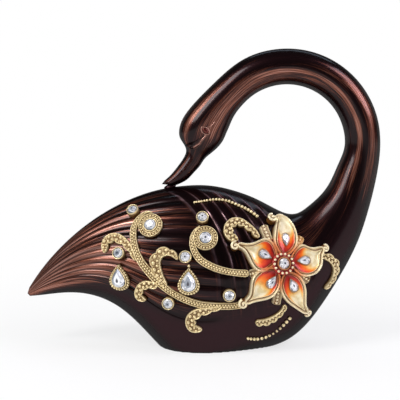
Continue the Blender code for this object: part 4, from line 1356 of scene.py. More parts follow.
@dataclass
class Flower:
    """The enamelled flower: five cupped petals with double rims and curled tips, five sepals, and a
    collar with a ring of beads."""

    skin: Skin
    petal_height: float = 0.0052
    petal_pitch: float = 0.00038
    petal_columns: int = 71
    petal_spread: float = 1.13
    rises: tuple[float, ...] = (0.5, 0.62, 0.8, 0.95, 1.0, 1.0, 0.95)
    outer_rim: float = 0.00125
    inner_rim: float = 0.0035
    inner_width: float = 0.0005
    inner_height: float = 0.93
    root: float = 0.3
    furrow: float = 0.66
    cup_edge: float = 0.74
    cup_floor: float = 0.32
    curl_size: float = 1.22
    curl_turn: float = 2.5 * math.pi
    curl_steps: int = 64
    pad_size: float = 0.92
    pad_sides: int = 32
    seat_step: float = 0.00012
    sepal_width: float = 0.0074
    sepal_height: float = 0.0026
    sepal_widths: tuple[float, ...] = (0.6, 0.9, 1.0)
    sepal_bead: float = 0.00125
    sepal_bead_pitch: float = 0.0026
    first_sepal_gilding: float = 0.55
    centre_half: float = 0.0045
    collar_flange: float = 0.0036
    collar_height: float = 0.0062
    collar_sides: int = 168
    beads: int = 14
    bead_radius: float = 0.0011
    bead_circle: float = 0.0079
    bead_lift: float = 0.7
    seat_sides: int = 40
    seat_rows: tuple[Triple, ...] = (
        (0.0009, 0.0013, 0), (0.0009, 0.0025, 0.1), (0.0006, 0.00275, 0.35),
        (0.00025, 0.00275, 0.3), (0.00025, 0.0016, 0),
    )

    def petal(self, petal: Petal, lift: float) -> Shell:
        """A band along the petal's midrib. An outer rim, a furrow and an inner rim follow its edge
        at even distances, which brings the inner rims together where the tip narrows, and between
        them a cup falls to the midrib.

        Args:
            petal: its route, widths and size.
            lift: how far it is raised, so that no two petals lie at one height.

        Returns:
            The closed petal.
        """
        strip = Strip(petal.route, petal.widths)
        width = petal.width * self.petal_spread
        size = (width, self.petal_height, self.petal_pitch, self.petal_columns)
        relief = Relief(self.skin, strip, *size)
        side, half = relief.side, relief.half
        tall = spread(self.rises, relief.share)[:, None] * self.petal_height
        room = half / np.hypot(1, np.gradient(relief.halves, relief.run)[:, None])
        inset = room * (1 - np.abs(side))
        within = inset > self.inner_rim
        from_root = smooth_step(relief.share / self.root)[:, None]
        outer = hump(inset - self.outer_rim, 0.9 * self.outer_rim)
        inner = self.inner_height * hump(inset - self.inner_rim, self.inner_width) * from_root
        depth = (inset - self.inner_rim) / np.maximum(room - self.inner_rim, 0.001)
        depth = np.clip(depth, 0, 1)
        cup = self.cup_edge - (self.cup_edge - self.cup_floor) * (1 - (1 - depth) ** 2)
        profile = np.maximum(np.where(within, cup, self.furrow), np.maximum(outer, inner))
        brim = smooth_step(inset / (0.5 * self.outer_rim))
        off_rim = np.abs(inset - self.outer_rim) / self.outer_rim
        lit = np.maximum(1 - smooth_step((off_rim - 0.68) / 0.3), np.minimum(1.4 * inner, 1))
        tones = {
            "bloom": np.broadcast_to(relief.share[:, None], inset.shape),
            "gild": smooth_step((self.inner_rim + 0.6 * self.inner_width - inset) / 0.0003),
            "relief": (0.05 + 0.9 * lit) * (0.4 + 0.6 * brim),
            "hollow": np.where(within, depth, 0),
        }
        return relief.slab(side * half, lift + tall * profile * brim, tones)

    def curl(self, petal: Petal) -> list[Shell]:
        """The rolled tip: a bar that winds in on itself by one turn and a quarter as its radius
        falls evenly, the ball that it ends in, and the pad below it.

        Args:
            petal: its curl's middle, radius, start and winding.

        Returns:
            The three shells.
        """
        mount = Mount(self.skin, petal.curl)
        size = self.curl_size * petal.curl_radius
        share = np.linspace(0, 1, self.curl_steps)
        turn = petal.curl_start + petal.winding * share * self.curl_turn
        spiral = np.stack([np.cos(turn), np.sin(turn)], axis=-1)
        flat = size * (self.pad_size - 0.8 * share)[:, None] * spiral
        path = mount.points(flat, self.petal_height * (0.66 + 0.22 * share))
        out = np.tile(mount.out, (len(path), 1))
        bar = tube(path, out, size * (0.27 - 0.07 * share), 14)
        end = ball(path[-1] + mount.out * 0.0002, mount.axes(0.24 * size), 16, 8)
        sides = np.ones(self.pad_sides)
        height = np.array([[0.0], [0.6], [0.66]]) * self.petal_height * sides
        reach = np.array([0.0, 0.0, -0.25]) * size
        half = np.array([size * self.pad_size] * 2)
        pad = mount.turned(circle(self.pad_sides), half, reach, height, {})
        lit = ((bar, 1), (end, 1), (pad, 0))
        return [shell.toned(gild=1, bloom=1, relief=level) for shell, level in lit]

    def sepal(self, route: Route, gilding: float) -> Shell:
        """A small blunt leaf with a bead row along its middle between two rims.

        Args:
            route: its middle line.
            gilding: how much of it is gilded; the rest is orange enamel.

        Returns:
            The closed sepal.
        """
        strip = Strip(route, self.sepal_widths)
        relief = Relief(self.skin, strip, self.sepal_width, self.sepal_height, 0.0003, 27, 0.35)
        edge = np.abs(relief.side)
        reach = relief.side * relief.half
        rims = hump(edge - 0.86, 0.16)
        ahead = relief.run[:, None] % self.sepal_bead_pitch - self.sepal_bead_pitch / 2
        nearest = np.hypot(ahead, reach) / self.sepal_bead
        bead = hump(nearest, 1.0)
        profile = np.maximum(rims, 0.5 + 0.5 * bead)
        brim = smooth_step((1 - edge) / 0.1)
        shown = rise(relief.share, 0.42, 0.1)[:, None] * np.ones_like(reach)
        tones = {
            "relief": np.maximum(ringed(nearest, bead, 0.4), rims),
            "gild": shown * gilding,
            "bloom": 0.06 + (0.52 + 0.22 * (gilding == 1)) * shown,
        }
        return relief.slab(reach, self.sepal_height * profile * brim + self.seat_step, tones)

    def collar(self) -> list[Shell]:
        """The middle: a low red dish with fine stamens, a rim round the stone, and gold beads."""
        mount = Mount(self.skin, FLOWER_PLACE)
        sides = self.collar_sides
        rim, bevel = BORE_GAP + WALL, WALL / 3
        share = np.linspace(1, 0, 16)[:, None]
        stamens = 0.5 + 0.5 * np.cos(6 * math.pi * self.beads * np.arange(sides) / sides)
        dish = 0.5 + 0.16 * (1 - share ** 2) + 0.07 * stamens * hump(share - 0.5, 0.5)
        cup = np.array([
            (rim, 0.9), (rim - bevel, 1.0), (BORE_GAP + bevel, 1.0), (BORE_GAP, 0.94),
            (BORE_GAP, 0.5),
        ])
        ones, zeros = np.ones((len(cup), sides)), np.zeros((len(cup), sides))
        reach = np.concatenate([rim + self.collar_flange * share[:, 0], cup[:, 0]])
        height = np.concatenate([dish, cup[:, 1:] * ones]) * self.collar_height
        tones = {
            "gild": np.concatenate([0 * dish, ones]),
            "relief": np.concatenate([0 * dish + 0.4, ones]),
            "bloom": np.concatenate([(0.1 + 0.14 * share) * (0.4 + 0.6 * stamens), zeros]),
            "hollow": np.concatenate([0 * dish + 1, ones]),
        }
        half = np.array([self.centre_half] * 2)
        shells = [mount.turned(circle(sides), half, reach, height, tones)]
        for angle in 2 * math.pi * (np.arange(self.beads) + 0.5) / self.beads:
            flat = self.bead_circle * np.array([math.sin(angle), math.cos(angle)])
            place = mount.points(flat, self.bead_lift * self.collar_height)
            bead = ball(place, mount.axes(self.bead_radius), 12, 7)
            shells.append(bead.toned(gild=1, relief=1, bloom=1))
        return shells

    def stone_seat(self, mount: Mount, half: Pair) -> Shell:
        """The thin wall round a petal's stone: each ring is a reach, a height and a tone."""
        outline = drop(self.seat_sides, half)
        reach, height, lit = np.array(self.seat_rows).T[..., None] * np.ones(self.seat_sides)
        ones = np.ones_like(lit)
        tones = {"gild": ones, "relief": lit, "bloom": ones * 0.5, "hollow": ones}
        return mount.turned(outline, np.array(half), reach[:, 0], height, tones)

    def build(self, stone_half: Pair) -> Shell:
        """All of the flower as one piece."""
        shells = self.collar()
        for i, petal in enumerate(PETALS):
            shells.append(self.petal(petal, self.seat_step * (len(PETALS) + 1 - i)))
            shells.extend(self.curl(petal))
        for i, route in enumerate(SEPALS):
            shells.append(self.sepal(route, 1.0 if i else self.first_sepal_gilding))
        for spot in PETAL_STONES:
            shells.append(self.stone_seat(aimed(self.skin, spot), stone_half))
        return Shell.joined(shells)


class Nodes:
    """A material's node tree, filled by short calls."""

    def __init__(self, tree: Tree) -> None:
        """Keep the tree."""
        self.tree = tree

    def add(self, kind: str, **settings: object) -> Node:
        """A node of a kind, with its properties set."""
        node = self.tree.nodes.new(kind)
        for name, value in settings.items():
            setattr(node, name, value)
        return node

    def feed(self, node: Node, **inputs: object) -> Node:
        """The node with its inputs set: a socket is linked, and anything else is the input's own
        value. An input goes by its name with underscores for spaces, or by an n and its number."""
        for name, value in inputs.items():
            numbered = name[0] == "n" and name[1:].isdigit()
            socket = node.inputs[int(name[1:]) if numbered else name.replace("_", " ")]
            if isinstance(value, Socket):
                self.tree.links.new(value, socket)
            else:
                socket.default_value = value
        return node

    def mix(self, share: object, first: object, second: object, blend: str = "MIX") -> Socket:
        """Two colours mixed by a share."""
        node = self.add("ShaderNodeMix", data_type="RGBA", blend_type=blend)
        return self.feed(node, n0=share, n6=first, n7=second).outputs[2]

    def between(self, share: Socket, first: object, second: object) -> Socket:
        """Two numbers mixed by a share."""
        return self.feed(self.add("ShaderNodeMix"), n0=share, n2=first, n3=second).outputs[0]

    def sum(self, operation: str, first: object, second: object) -> Socket:
        """One step of arithmetic."""
        node = self.add("ShaderNodeMath", operation=operation)
        return self.feed(node, n0=first, n1=second).outputs[0]

    def plus(self, first: object, second: object) -> Socket:
        """Two numbers added."""
        return self.sum("ADD", first, second)

    def minus(self, first: object, second: object) -> Socket:
        """The first number less the second."""
        return self.sum("SUBTRACT", first, second)

    def times(self, first: object, second: object) -> Socket:
        """Two numbers multiplied."""
        return self.sum("MULTIPLY", first, second)

    def clamped(self, value: Socket) -> Socket:
        """A number held between 0 and 1."""
        return self.feed(self.add("ShaderNodeClamp"), n0=value).outputs[0]

    def span(self, value: Socket, low: float, high: float, to_low: float = 0.0,
             to_high: float = 1.0, kind: str = "SMOOTHSTEP") -> Socket:
        """A number that runs from one level to another while the value runs from low to high."""
        node = self.add("ShaderNodeMapRange", interpolation_type=kind)
        self.feed(node, Value=value, From_Min=low, From_Max=high, To_Min=to_low, To_Max=to_high)
        return node.outputs[0]

    def ramp(self, value: Socket, stops: tuple) -> Socket:
        """A colour ramp: each stop is a place and a colour."""
        node = self.add("ShaderNodeValToRGB")
        elements = node.color_ramp.elements
        for place, colour in stops[1:-1]:
            elements.new(place).color = (*colour, 1)
        for element, (place, colour) in ((elements[0], stops[0]), (elements[-1], stops[-1])):
            element.position = place
            element.color = (*colour, 1)
        return self.feed(node, n0=value).outputs[0]

    def noise(self, vector: Socket, scale: float, detail: float = 3.0) -> Socket:
        """Noise between 0 and 1."""
        node = self.add("ShaderNodeTexNoise")
        return self.feed(node, Vector=vector, Scale=scale, Detail=detail).outputs[0]

    def stretched(self, vector: Socket, scale: Triple) -> Socket:
        """A vector with each of its parts scaled."""
        node = self.add("ShaderNodeVectorMath", operation="MULTIPLY")
        return self.feed(node, n0=vector, n1=scale).outputs[0]

    def parts(self, vector: Socket) -> Outputs:
        """A vector's parts, by number or by letter."""
        return self.feed(self.add("ShaderNodeSeparateXYZ"), Vector=vector).outputs

    def where(self) -> Socket:
        """The place on the object."""
        return self.add("ShaderNodeTexCoord").outputs["Object"]

    def attribute(self, name: str, output: str = "Fac") -> Socket:
        """A value kept on the mesh."""
        return self.add("ShaderNodeAttribute", attribute_name=name).outputs[output]

    def bump(self, height: Socket, strength: float) -> Socket:
        """A normal tilted by the slope of a height."""
        node = self.add("ShaderNodeBump")
        return self.feed(node, Strength=strength, Distance=0.0003, Height=height).outputs[0]

    def gilding(self, patina: Tree, light: Triple, dark: Triple, marks: float) -> Outputs:
        """The patina's colour, roughness and height, on the relief kept on the mesh."""
        coat = self.add("ShaderNodeGroup", node_tree=patina)
        relief = self.attribute("relief")
        self.feed(coat, Relief=relief, Light=(*light, 1), Dark=(*dark, 1), Marks=marks)
        return coat.outputs


def new_material(name: str) -> tuple[Material, Nodes, Node]:
    """A material, its nodes, and its Principled BSDF."""
    material = bpy.data.materials.new(name)
    material.use_nodes = True
    shader = material.node_tree.nodes["Principled BSDF"]
    return material, Nodes(material.node_tree), shader


@dataclass(frozen=True)
class Patina:
    """Antique metal: dark in the recesses and between the hammer marks, light on the crests."""

    pit_depth: float = 1.4
    pit_shade: float = 0.16
    cloud_scale: float = 160.0
    cloud_share: float = 0.35
    lift: float = 0.07
    roughest: float = 0.5
    polish: float = 0.22
    inputs: tuple = (("Relief", "Float"), ("Light", "Color"), ("Dark", "Color"), ("Marks", "Float"))
    outputs: tuple = (("Color", "Color"), ("Roughness", "Float"), ("Height", "Float"))

    def group(self) -> Tree:
        """Its inputs are how raised the place is, its light and its dark colour and the size of the
        marks. Its outputs are the colour, the roughness and the height of the marks."""
        group = bpy.data.node_groups.new("antique_patina", "ShaderNodeTree")
        for way, sockets in (("INPUT", self.inputs), ("OUTPUT", self.outputs)):
            for name, kind in sockets:
                group.interface.new_socket(name, in_out=way, socket_type=f"NodeSocket{kind}")
        nodes = Nodes(group)
        enter = nodes.add("NodeGroupInput").outputs
        leave = nodes.add("NodeGroupOutput")
        where = nodes.where()
        marks = nodes.feed(nodes.add("ShaderNodeTexVoronoi"), Vector=where, Scale=enter["Marks"])
        pits = nodes.times(marks.outputs[0], self.pit_depth)
        cloud = nodes.minus(nodes.noise(where, self.cloud_scale), 0.5)
        wear = nodes.plus(enter["Relief"], nodes.times(cloud, self.cloud_share))
        lit = nodes.minus(wear, nodes.times(pits, self.pit_shade))
        share = nodes.clamped(nodes.plus(lit, self.lift))
        colour = nodes.mix(share, enter["Dark"], enter["Light"])
        rough = nodes.minus(self.roughest, nodes.times(share, self.polish))
        nodes.feed(leave, n0=colour, n1=rough, n2=nodes.times(pits, -1.0))
        return group


@dataclass(frozen=True)
class LacquerFinish:
    """Near-black brown lacquer with copper pearl drawn out in streaks, under a clear gloss.

    A set of streaks is given by how fast it changes along the casting (the less, the longer the
    streaks), how fine it is round the casting and how many finer layers it has.
    """

    neck_start: float
    dark: Triple = (0.006, 0.0022, 0.0025)
    ground: Triple = (0.029, 0.01, 0.013)
    plum: Triple = (0.045, 0.012, 0.01)
    copper: Triple = (0.25, 0.077, 0.04)
    rose: Triple = (0.48, 0.24, 0.19)
    quill_highlight: Triple = (0.42, 0.25, 0.27)
    red: Triple = (0.11, 0.018, 0.012)
    broad_streaks: Triple = (2.0, 3.4, 1.0)
    body_streaks: Triple = (0.45, 75.0, 2.0)
    neck_streaks: Triple = (0.9, 42.0, 2.0)
    broad_share: float = 0.45
    neck_fade: float = 0.07
    streak_stops: tuple[float, ...] = (0.45, 0.51, 0.57, 0.67)
    vane_stops: tuple[float, ...] = (0.48, 0.6, 0.72)
    vane_grain: Triple = (420.0, 1.3, 0.0)
    groove_shade: float = 0.9
    line_shine: float = 0.95
    gloss: float = 0.45
    gloss_loss: float = 0.43
    bare_gloss: float = 0.4

    @staticmethod
    def streaks(nodes: Nodes, grain: Socket, sizes: Triple) -> Socket:
        """Noise in streaks along the casting."""
        stretch, scale, detail = sizes
        return nodes.noise(nodes.stretched(grain, (stretch, 1.0, 1.0)), scale, detail)

    def material(self) -> Material:
        """Streaks are noise drawn out along the casting; grooves are painted dark as shade and crests
        keep the copper. Where the skin turns from view, the colour fades to the dark tone as painted
        shade, and the gloss fades too."""
        material, nodes, shader = new_material("copper_lacquer")
        grain, barb = nodes.attribute("grain", "Vector"), nodes.attribute("barb", "Vector")
        # The pearl share also holds painted shade on the neck and a painted highlight on the tail.
        pearl = nodes.attribute("pearl")
        dark = (*self.dark, 1)
        on_neck = nodes.span(nodes.parts(grain)[0], self.neck_start - self.neck_fade, self.neck_start)
        broad, body, neck = (
            self.streaks(nodes, grain, sizes)
            for sizes in (self.broad_streaks, self.body_streaks, self.neck_streaks)
        )
        fine = nodes.times(nodes.between(on_neck, body, neck), 1 - self.broad_share)
        streak = nodes.plus(nodes.times(broad, self.broad_share), fine)
        streak = nodes.plus(streak, nodes.times(nodes.minus(pearl, 0.85), 0.3))
        tones = (self.dark, self.plum, self.copper, self.rose)
        base = nodes.ramp(streak, tuple(zip(self.streak_stops, tones)))
        barbs = nodes.noise(nodes.stretched(barb, self.vane_grain), 1.0)
        vane = nodes.ramp(barbs, tuple(zip(self.vane_stops, tones)))
        base = nodes.mix(nodes.attribute("wing"), base, vane)
        base = nodes.mix(pearl, (*self.ground, 1), base)
        # Painted shade: the deeper the carving, the darker the groove.
        groove = nodes.clamped(nodes.times(nodes.attribute("groove"), self.groove_shade))
        carved = nodes.mix(groove, base, dark)
        # Painted highlight: the crests of the quills take a pale pink colour in broken patches.
        glint_patches = nodes.span(nodes.noise(barb, 5.0, 2.0), 0.38, 0.62, 0.15, 0.9)
        carved = nodes.mix(nodes.times(nodes.attribute("quill"), glint_patches), carved, (*self.quill_highlight, 1))
        line = nodes.times(nodes.attribute("line"), self.line_shine)
        carved = nodes.mix(line, carved, (*self.rose, 1))
        carved = nodes.mix(nodes.attribute("eye"), carved, (*self.red, 1))
        # Painted shade: the colour goes dark where the skin turns from view.
        facing = nodes.feed(nodes.add("ShaderNodeLayerWeight"), Blend=0.5)
        grazing_shade = nodes.span(facing.outputs["Facing"], 0.35, 0.95)
        colour = nodes.mix(grazing_shade, carved, dark)
        gloss = nodes.minus(self.gloss, nodes.times(grazing_shade, self.gloss_loss))
        shown = nodes.plus(nodes.times(pearl, 1 - self.bare_gloss), self.bare_gloss)
        nodes.feed(
            shader, Base_Color=colour, Metallic=0.88, Roughness=0.33,
            Specular_Tint=(0.1, 0.06, 0.06, 1), Coat_Weight=nodes.times(gloss, shown),
            Coat_Roughness=0.15, Coat_IOR=1.5,
        )
        return material


@dataclass(frozen=True)
class GiltFinish:
    """Antique gilding, dark in its recesses."""

    patina: Tree
    light: Triple = (0.96, 0.79, 0.45)
    dark: Triple = (0.15, 0.066, 0.012)
    marks: float = 900.0

    def material(self) -> Material:
        """The patina's colour, roughness and hammer marks on metal."""
        material, nodes, shader = new_material("antique_gilt")
        coat = nodes.gilding(self.patina, self.light, self.dark, self.marks)
        nodes.feed(
            shader, Base_Color=coat["Color"], Roughness=coat["Roughness"], Metallic=0.5,
            Normal=nodes.bump(coat["Height"], 0.5),
        )
        return material


@dataclass(frozen=True)
class EnamelFinish:
    """Pearly enamel from dark red at the middle over orange to ivory gold, with gilded rims."""

    patina: Tree
    light: Triple = (0.98, 0.85, 0.56)
    dark: Triple = (0.2, 0.075, 0.012)
    amber: Triple = (0.78, 0.34, 0.05)
    marks: float = 1100.0
    stops: tuple = (
        (0.06, (0.13, 0.002, 0.001)), (0.18, (0.45, 0.009, 0.002)), (0.29, (0.82, 0.065, 0.002)),
        (0.39, (0.95, 0.23, 0.006)), (0.47, (0.92, 0.56, 0.16)), (0.56, (0.92, 0.81, 0.54)),
        (0.85, (0.94, 0.86, 0.64)),
    )
    leaf_stops: tuple = ((0.36, (0.86, 0.79, 0.64)), (0.52, (1.0, 1.0, 1.0)))
    cloud_scale: float = 90.0
    cloud_share: float = 0.16
    leaf_scale: float = 260.0

    def material(self) -> Material:
        """Enamel by the way out from the middle, and gilding where the mesh says so."""
        material, nodes, shader = new_material("petal_enamel")
        where, bloom = nodes.where(), nodes.attribute("bloom")
        edge = nodes.span(nodes.attribute("hollow"), 0.0, 0.4, -0.12, 0.0)
        cloud = nodes.minus(nodes.noise(where, self.cloud_scale), 0.5)
        out = nodes.plus(bloom, nodes.plus(nodes.times(cloud, self.cloud_share), edge))
        leafed = nodes.ramp(nodes.noise(where, self.leaf_scale), self.leaf_stops)
        paint = nodes.mix(1.0, nodes.ramp(out, self.stops), leafed, "MULTIPLY")
        coat = nodes.gilding(self.patina, self.light, self.dark, self.marks)
        gild = nodes.attribute("gild")
        glazed = nodes.mix(0.5, (*self.amber, 1), nodes.ramp(nodes.plus(bloom, 0.1), self.stops))
        tinted = nodes.mix(1.0, coat["Color"], glazed, "MULTIPLY")
        warm = nodes.mix(0.9, coat["Color"], tinted)
        near = nodes.span(bloom, 0.18, 0.42, kind="LINEAR")
        rim = nodes.mix(near, warm, coat["Color"])
        nodes.feed(
            shader, Base_Color=nodes.mix(gild, paint, rim), Roughness=0.36,
            Normal=nodes.bump(nodes.times(coat["Height"], gild), 0.4),
            Metallic=nodes.plus(0.2, nodes.times(gild, 0.25)), Coat_Weight=0.25, Coat_Roughness=0.18,
        )
        return material


@dataclass(frozen=True)
class StoneFinish:
    """Clear cut stone over foil."""

    colour: Triple = (0.92, 0.93, 0.96)
    shade: Triple = (0.3, 0.33, 0.38)
    deep: Triple = (0.05, 0.05, 0.07)

    def material(self) -> Material:
        """A mirror-bright foil seen through a clear glossy stone, some facets painted greyer than
        others as painted reflections.
        """
        material, nodes, shader = new_material("foiled_stone")
        # Painted reflections: each facet's normal picks a grey or a white tone.
        facet = nodes.add("ShaderNodeNewGeometry").outputs["Normal"]
        tone = nodes.noise(facet, 2.6, 0.0)
        foil = nodes.ramp(tone, ((0.42, self.shade), (0.55, self.colour)))
        spot = nodes.span(nodes.attribute("spot"), 0.45, 0.75)
        nodes.feed(
            shader, Base_Color=nodes.mix(spot, foil, (*self.deep, 1)), Metallic=0.35,
            Roughness=0.12, Coat_Weight=1.0, Coat_Roughness=0.0,
        )
        return material


class Lamp(NamedTuple):
    """A soft rectangular lamp: its name, where it stands, its width and height, its light in watts
    and the colour of its light."""

    name: str
    place: Triple
    size: Pair
    power: float
    colour: Triple = (1.0, 1.0, 1.0)


@dataclass
class Studio:
    """A pale floor, soft lamps, a white backdrop and the camera."""

    target: Triple = (-0.012967, 0.0, 0.1232)
    distance: float = 0.9
    elevation: float = math.radians(6)
    lens: float = 95.0
    sensor_width: float = 36.0
    clip: Pair = (0.05, 50.0)
    floor_colour: Triple = (0.88, 0.88, 0.88)
    floor_sides: int = 96
    near_floor: float = 0.12
    far_floor: float = 0.45
    floor_glow: float = 0.72
    ambient: float = 0.42
    front: float = 0.07
    aim: Triple = (0, 0, 0.12)
    floor_radii: tuple[float, ...] = (0.05, 0.3, 1.0, 3.0, 12.0)
    floor_level: float = -0.0001
    lamps: tuple[Lamp, ...] = (
        Lamp("left_softbox", (-0.8, -0.72, 0.92), (0.45, 0.9), 13.0),
        Lamp("right_softbox", (0.95, -0.35, 0.8), (0.5, 0.8), 8.0, (0.88, 0.85, 1.0)),
        Lamp("back_softbox", (0.2, 0.6, 1.08), (1.0, 0.2), 2.0, (0.72, 0.84, 1.0)),
    )

    def camera(self) -> None:
        """The camera, square on from the left and a little above."""
        data = bpy.data.cameras.new("camera")
        data.lens = self.lens
        data.sensor_width = self.sensor_width
        data.clip_start, data.clip_end = self.clip
        camera = linked("camera", data)
        back = Vector((0, -math.cos(self.elevation), math.sin(self.elevation)))
        camera.location = Vector(self.target) + back * self.distance
        camera.rotation_euler = (-back).to_track_quat("-Z", "Y").to_euler()
        bpy.context.scene.camera = camera

    def light(self, lamp: Lamp) -> None:
        """Put up a lamp, turned to the figure."""
        data = bpy.data.lights.new(lamp.name, "AREA")
        data.color = lamp.colour
        data.shape = "RECTANGLE"
        data.size, data.size_y = lamp.size
        data.energy = lamp.power
        softbox = linked(lamp.name, data)
        softbox.location = lamp.place
        way = Vector(self.aim) - Vector(lamp.place)
        softbox.rotation_euler = way.to_track_quat("-Z", "Y").to_euler()

    def floor(self) -> Object:
        """A flat round floor, as rings of points just under the object."""
        level = self.floor_level
        flat = np.array(self.floor_radii)[:, None, None] * circle(self.floor_sides)[:, ::-1]
        rows = np.concatenate([flat, np.full((*flat.shape[:2], 1), level)], axis=-1)
        count = len(self.floor_radii) * self.floor_sides
        index = wrapped(np.arange(count).reshape(flat.shape[:2]))
        points = np.concatenate([rows.reshape(-1, 3), [[0, 0, level]]])
        hub = np.stack([index[0, :-1], index[0, 1:], np.full(self.floor_sides, count)], axis=-1)
        mesh = bpy.data.meshes.new("floor")
        mesh.from_pydata(points.tolist(), [], [*quads(index).tolist(), *hub.tolist()])
        mesh.shade_smooth()
        mesh.materials.append(self.floor_material())
        return linked("floor", mesh)

    @staticmethod
    def rays(nodes: Nodes) -> tuple[Socket, Socket]:
        """Whether the camera sees a place, and whether it is seen mirrored or through glass."""
        ray = nodes.add("ShaderNodeLightPath").outputs
        mirrored = nodes.sum("MAXIMUM", ray["Is Glossy Ray"], ray["Is Transmission Ray"])
        return ray["Is Camera Ray"], mirrored

    def floor_material(self) -> Material:
        """Pale and matt near the object, where it takes the shadow, and as white as the backdrop
        further out, wherever it is seen or mirrored."""
        material, nodes, shader = new_material("pale_floor")
        nodes.feed(shader, Base_Color=(*self.floor_colour, 1), Roughness=0.7)
        length = nodes.add("ShaderNodeVectorMath", operation="LENGTH")
        off = nodes.feed(length, n0=nodes.where()).outputs["Value"]
        far = nodes.span(off, self.near_floor, self.far_floor, self.floor_glow)
        seen = nodes.sum("MAXIMUM", *self.rays(nodes))
        white = nodes.feed(nodes.add("ShaderNodeEmission"), Color=(1, 1, 1, 1), Strength=1.0)
        share = nodes.times(far, seen)
        blend = nodes.add("ShaderNodeMixShader")
        nodes.feed(blend, n0=share, n1=shader.outputs[0], n2=white.outputs[0])
        nodes.feed(material.node_tree.nodes["Material Output"], Surface=blend.outputs[0])
        return material

    def world(self) -> None:
        """White to the eye all round. Mirrored, it is white behind the figure and dim in front of
        it and overhead, as between a backdrop and dark screens."""
        world = bpy.data.worlds.new("studio")
        bpy.context.scene.world = world
        world.use_nodes = True
        nodes = Nodes(world.node_tree)
        seen, mirrored = self.rays(nodes)
        way = nodes.parts(nodes.add("ShaderNodeTexCoord").outputs["Generated"])
        behind = nodes.span(way["Y"], 0.1, 0.8, self.front)
        low = nodes.span(way["Z"], 0.7, 0.2, self.front)
        backdrop = nodes.sum("MINIMUM", behind, low)
        strength = nodes.between(seen, nodes.between(mirrored, self.ambient, backdrop), 1.0)
        nodes.feed(world.node_tree.nodes["Background"], Color=(1, 1, 1, 1), Strength=strength)

    def build(self) -> None:
        """Everything around the object."""
        self.camera()
        self.world()
        self.floor()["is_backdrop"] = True
        for lamp in self.lamps:
            self.light(lamp)
        bpy.context.scene.view_settings.view_transform = "Standard"


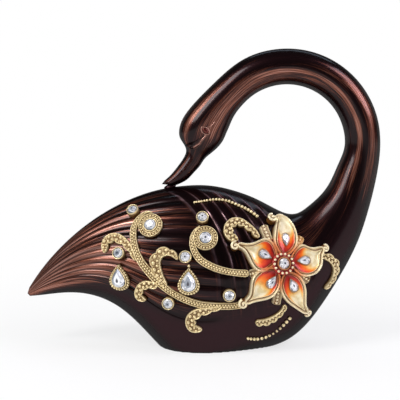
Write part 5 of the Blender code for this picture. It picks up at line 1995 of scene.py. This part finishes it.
@dataclass
class Figurine:
    """The whole figurine, dressed node by node."""

    skin: Skin
    stem_width: float = 0.0058
    stem_height: float = 0.0022
    leaf_width: float = 0.0072
    leaf_height: float = 0.0026
    bead_width: float = 0.0027
    disc_radius: float = 0.0102
    disc_height: float = 0.0026
    disc_bands: Bands = ((0.57, 22, 0.00092),)
    scroll_stone: float = 0.0047
    chaton: float = 0.004
    chaton_height: float = 0.0044
    drop_half: Pair = (0.0058, 0.008)
    drop_rim: float = 0.0032
    drop_height: float = 0.003
    drop_bands: Bands = ((0.58, 25, 0.00108),)
    link_place: float = 0.0124
    link_radius: float = 0.0012
    centre_stone: float = 0.0045
    collar_height: float = 0.0062
    petal_stone: Pair = (0.0033, 0.0053)
    petal_stone_depth: float = 0.0016
    petal_stone_height: float = 0.0021
    facets: int = 10
    drop_facets: int = 14
    eye_sides: int = 264
    cup_sides: int = 64
    drop_sides: int = 260

    def __post_init__(self) -> None:
        """Make the finishes and note the frame's box."""
        patina = Patina().group()
        self.finishes = {
            Slot.LACQUER: LacquerFinish(self.skin.neck_start).material(),
            Slot.GILT: GiltFinish(patina).material(),
            Slot.ENAMEL: EnamelFinish(patina).material(),
            Slot.CRYSTAL: StoneFinish().material(),
        }
        self.box = tuple(np.array(corner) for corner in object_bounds())

    def dress(self, node: str, shell: Shell, slot: Slot, vectors: Tones | None = None) -> None:
        """Make a piece of a shell and let it stand for a node.

        Args:
            node: the CAD node's name.
            shell: its surface, which is kept inside the frame's box.
            slot: the finish it takes.
            vectors: attributes of three numbers a point.
        """
        shell.points = np.clip(shell.points, *self.box)
        piece = shell.object(f"{node}_fine", slot is Slot.CRYSTAL, vectors)
        piece.data.materials.append(self.finishes[slot])
        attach(piece, BODY)
        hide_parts(node)
        faces = sum(len(part) * (part.shape[1] - 2) for part in shell.faces)
        LOG.info("%s: %d triangles", node, faces)

    def stone(self, node: str, mount: Mount, half: Pair, *sizes: float) -> None:
        """Dress a stone's node, by its floor, its height and how far off its middle the spot lies."""
        sides = self.drop_facets if half == self.drop_half else self.facets
        outline = circle(sides) if half[0] == half[1] else drop(sides, half)
        self.dress(node, Stone(mount, outline, half, *sizes).shell(), Slot.CRYSTAL)

    def leaf(self, strip: Strip) -> Shell:
        """A leaf of the usual width and height."""
        return Leaf(self.skin, strip, self.leaf_width, self.leaf_height).shell()

    def scrolls(self) -> None:
        """The two scrolls, their eyes and leaves, and the loose leaves."""
        stems = {
            "long_scroll": (LONG_STEM, LONG_DISC, LONG_LEAVES),
            "upper_scroll": (UPPER_STEM, UPPER_DISC, ()),
        }
        half, tall = (self.scroll_stone, self.scroll_stone), self.disc_height
        flange = self.disc_radius - self.scroll_stone - BORE_GAP - WALL
        for node, (strip, spot, leaves) in stems.items():
            mount = Mount(self.skin, spot)
            stem = Stem(self.skin, strip, self.stem_width, self.stem_height)
            outline = circle(self.eye_sides)
            eye = Cup(mount, outline, half, flange, tall, tall / 2, self.disc_bands, 1.0)
            shells = [stem.shell(), eye.shell(), *(self.leaf(leaf) for leaf in leaves)]
            self.dress(node, Shell.joined(shells), Slot.GILT)
            self.stone(f"{node}_stone", mount, half, tall / 2, tall)
        for node, strip in LOOSE_LEAVES.items():
            self.dress(node, self.leaf(strip), Slot.GILT)

    def bead_rows(self) -> None:
        """The two rows of beads, of which the upper one is strung."""
        for node, strip in BEAD_ROWS.items():
            row = BeadRow(self.skin, strip, self.bead_width, 0, strung=node == "upper_bead_row")
            self.dress(node, row.shell(), Slot.GILT)

    def settings(self) -> None:
        """The round and drop-shaped stones in their own cups."""
        half, tall = (self.chaton, self.chaton), self.chaton_height
        for i, spot in enumerate(CHATON_PLACES, 1):
            mount = Mount(self.skin, spot)
            cup = Cup(mount, circle(self.cup_sides), half, 0, tall, tall / 2)
            self.dress(f"chaton_setting_{i}", cup.shell(), Slot.GILT)
            self.stone(f"chaton_{i}", mount, half, tall / 2, tall * 0.75)
        half, tall = self.drop_half, self.drop_height
        flange = self.drop_rim - BORE_GAP - WALL
        for side, spot in DROP_PLACES.items():
            mount = Mount(self.skin, spot)
            outline = drop(self.drop_sides, half)
            cup = Cup(mount, outline, half, flange, tall, tall / 2, self.drop_bands)
            shells = [cup.shell()]
            if side == "right":
                place = mount.points(np.array([0, self.link_place]), 0.001)
                link = ball(place, mount.axes(self.link_radius), 14, 9)
                shells.append(link.toned(relief=0.9))
            self.dress(f"drop_setting_{side}", Shell.joined(shells), Slot.GILT)
            self.stone(f"drop_stone_{side}", mount, half, tall / 2, tall * 1.3, -0.3)

    def flower(self) -> None:
        """The flower and its six stones."""
        self.dress("flower", Flower(self.skin).build(self.petal_stone), Slot.ENAMEL)
        half, tall = (self.centre_stone, self.centre_stone), self.collar_height
        middle = Mount(self.skin, FLOWER_PLACE)
        self.stone("flower_centre_stone", middle, half, tall / 2, tall * 0.7)
        sizes = (self.petal_stone_depth, self.petal_stone_height)
        for i, spot in enumerate(PETAL_STONES, 1):
            self.stone(f"petal_stone_{i}", aimed(self.skin, spot), self.petal_stone, *sizes)

    def build(self) -> None:
        """Every piece in its place."""
        body, vectors = SwanBody(self.skin).build()
        self.dress("swan_body", body, Slot.LACQUER, vectors)
        self.scrolls()
        self.bead_rows()
        self.settings()
        self.flower()


def main() -> None:
    """Load the frame, dress it, light it and note its size."""
    logging.basicConfig(level=logging.INFO, format="%(name)s: %(message)s")
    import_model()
    Figurine(Skin()).build()
    Studio().build()


if __name__ == "__main__":
    main()
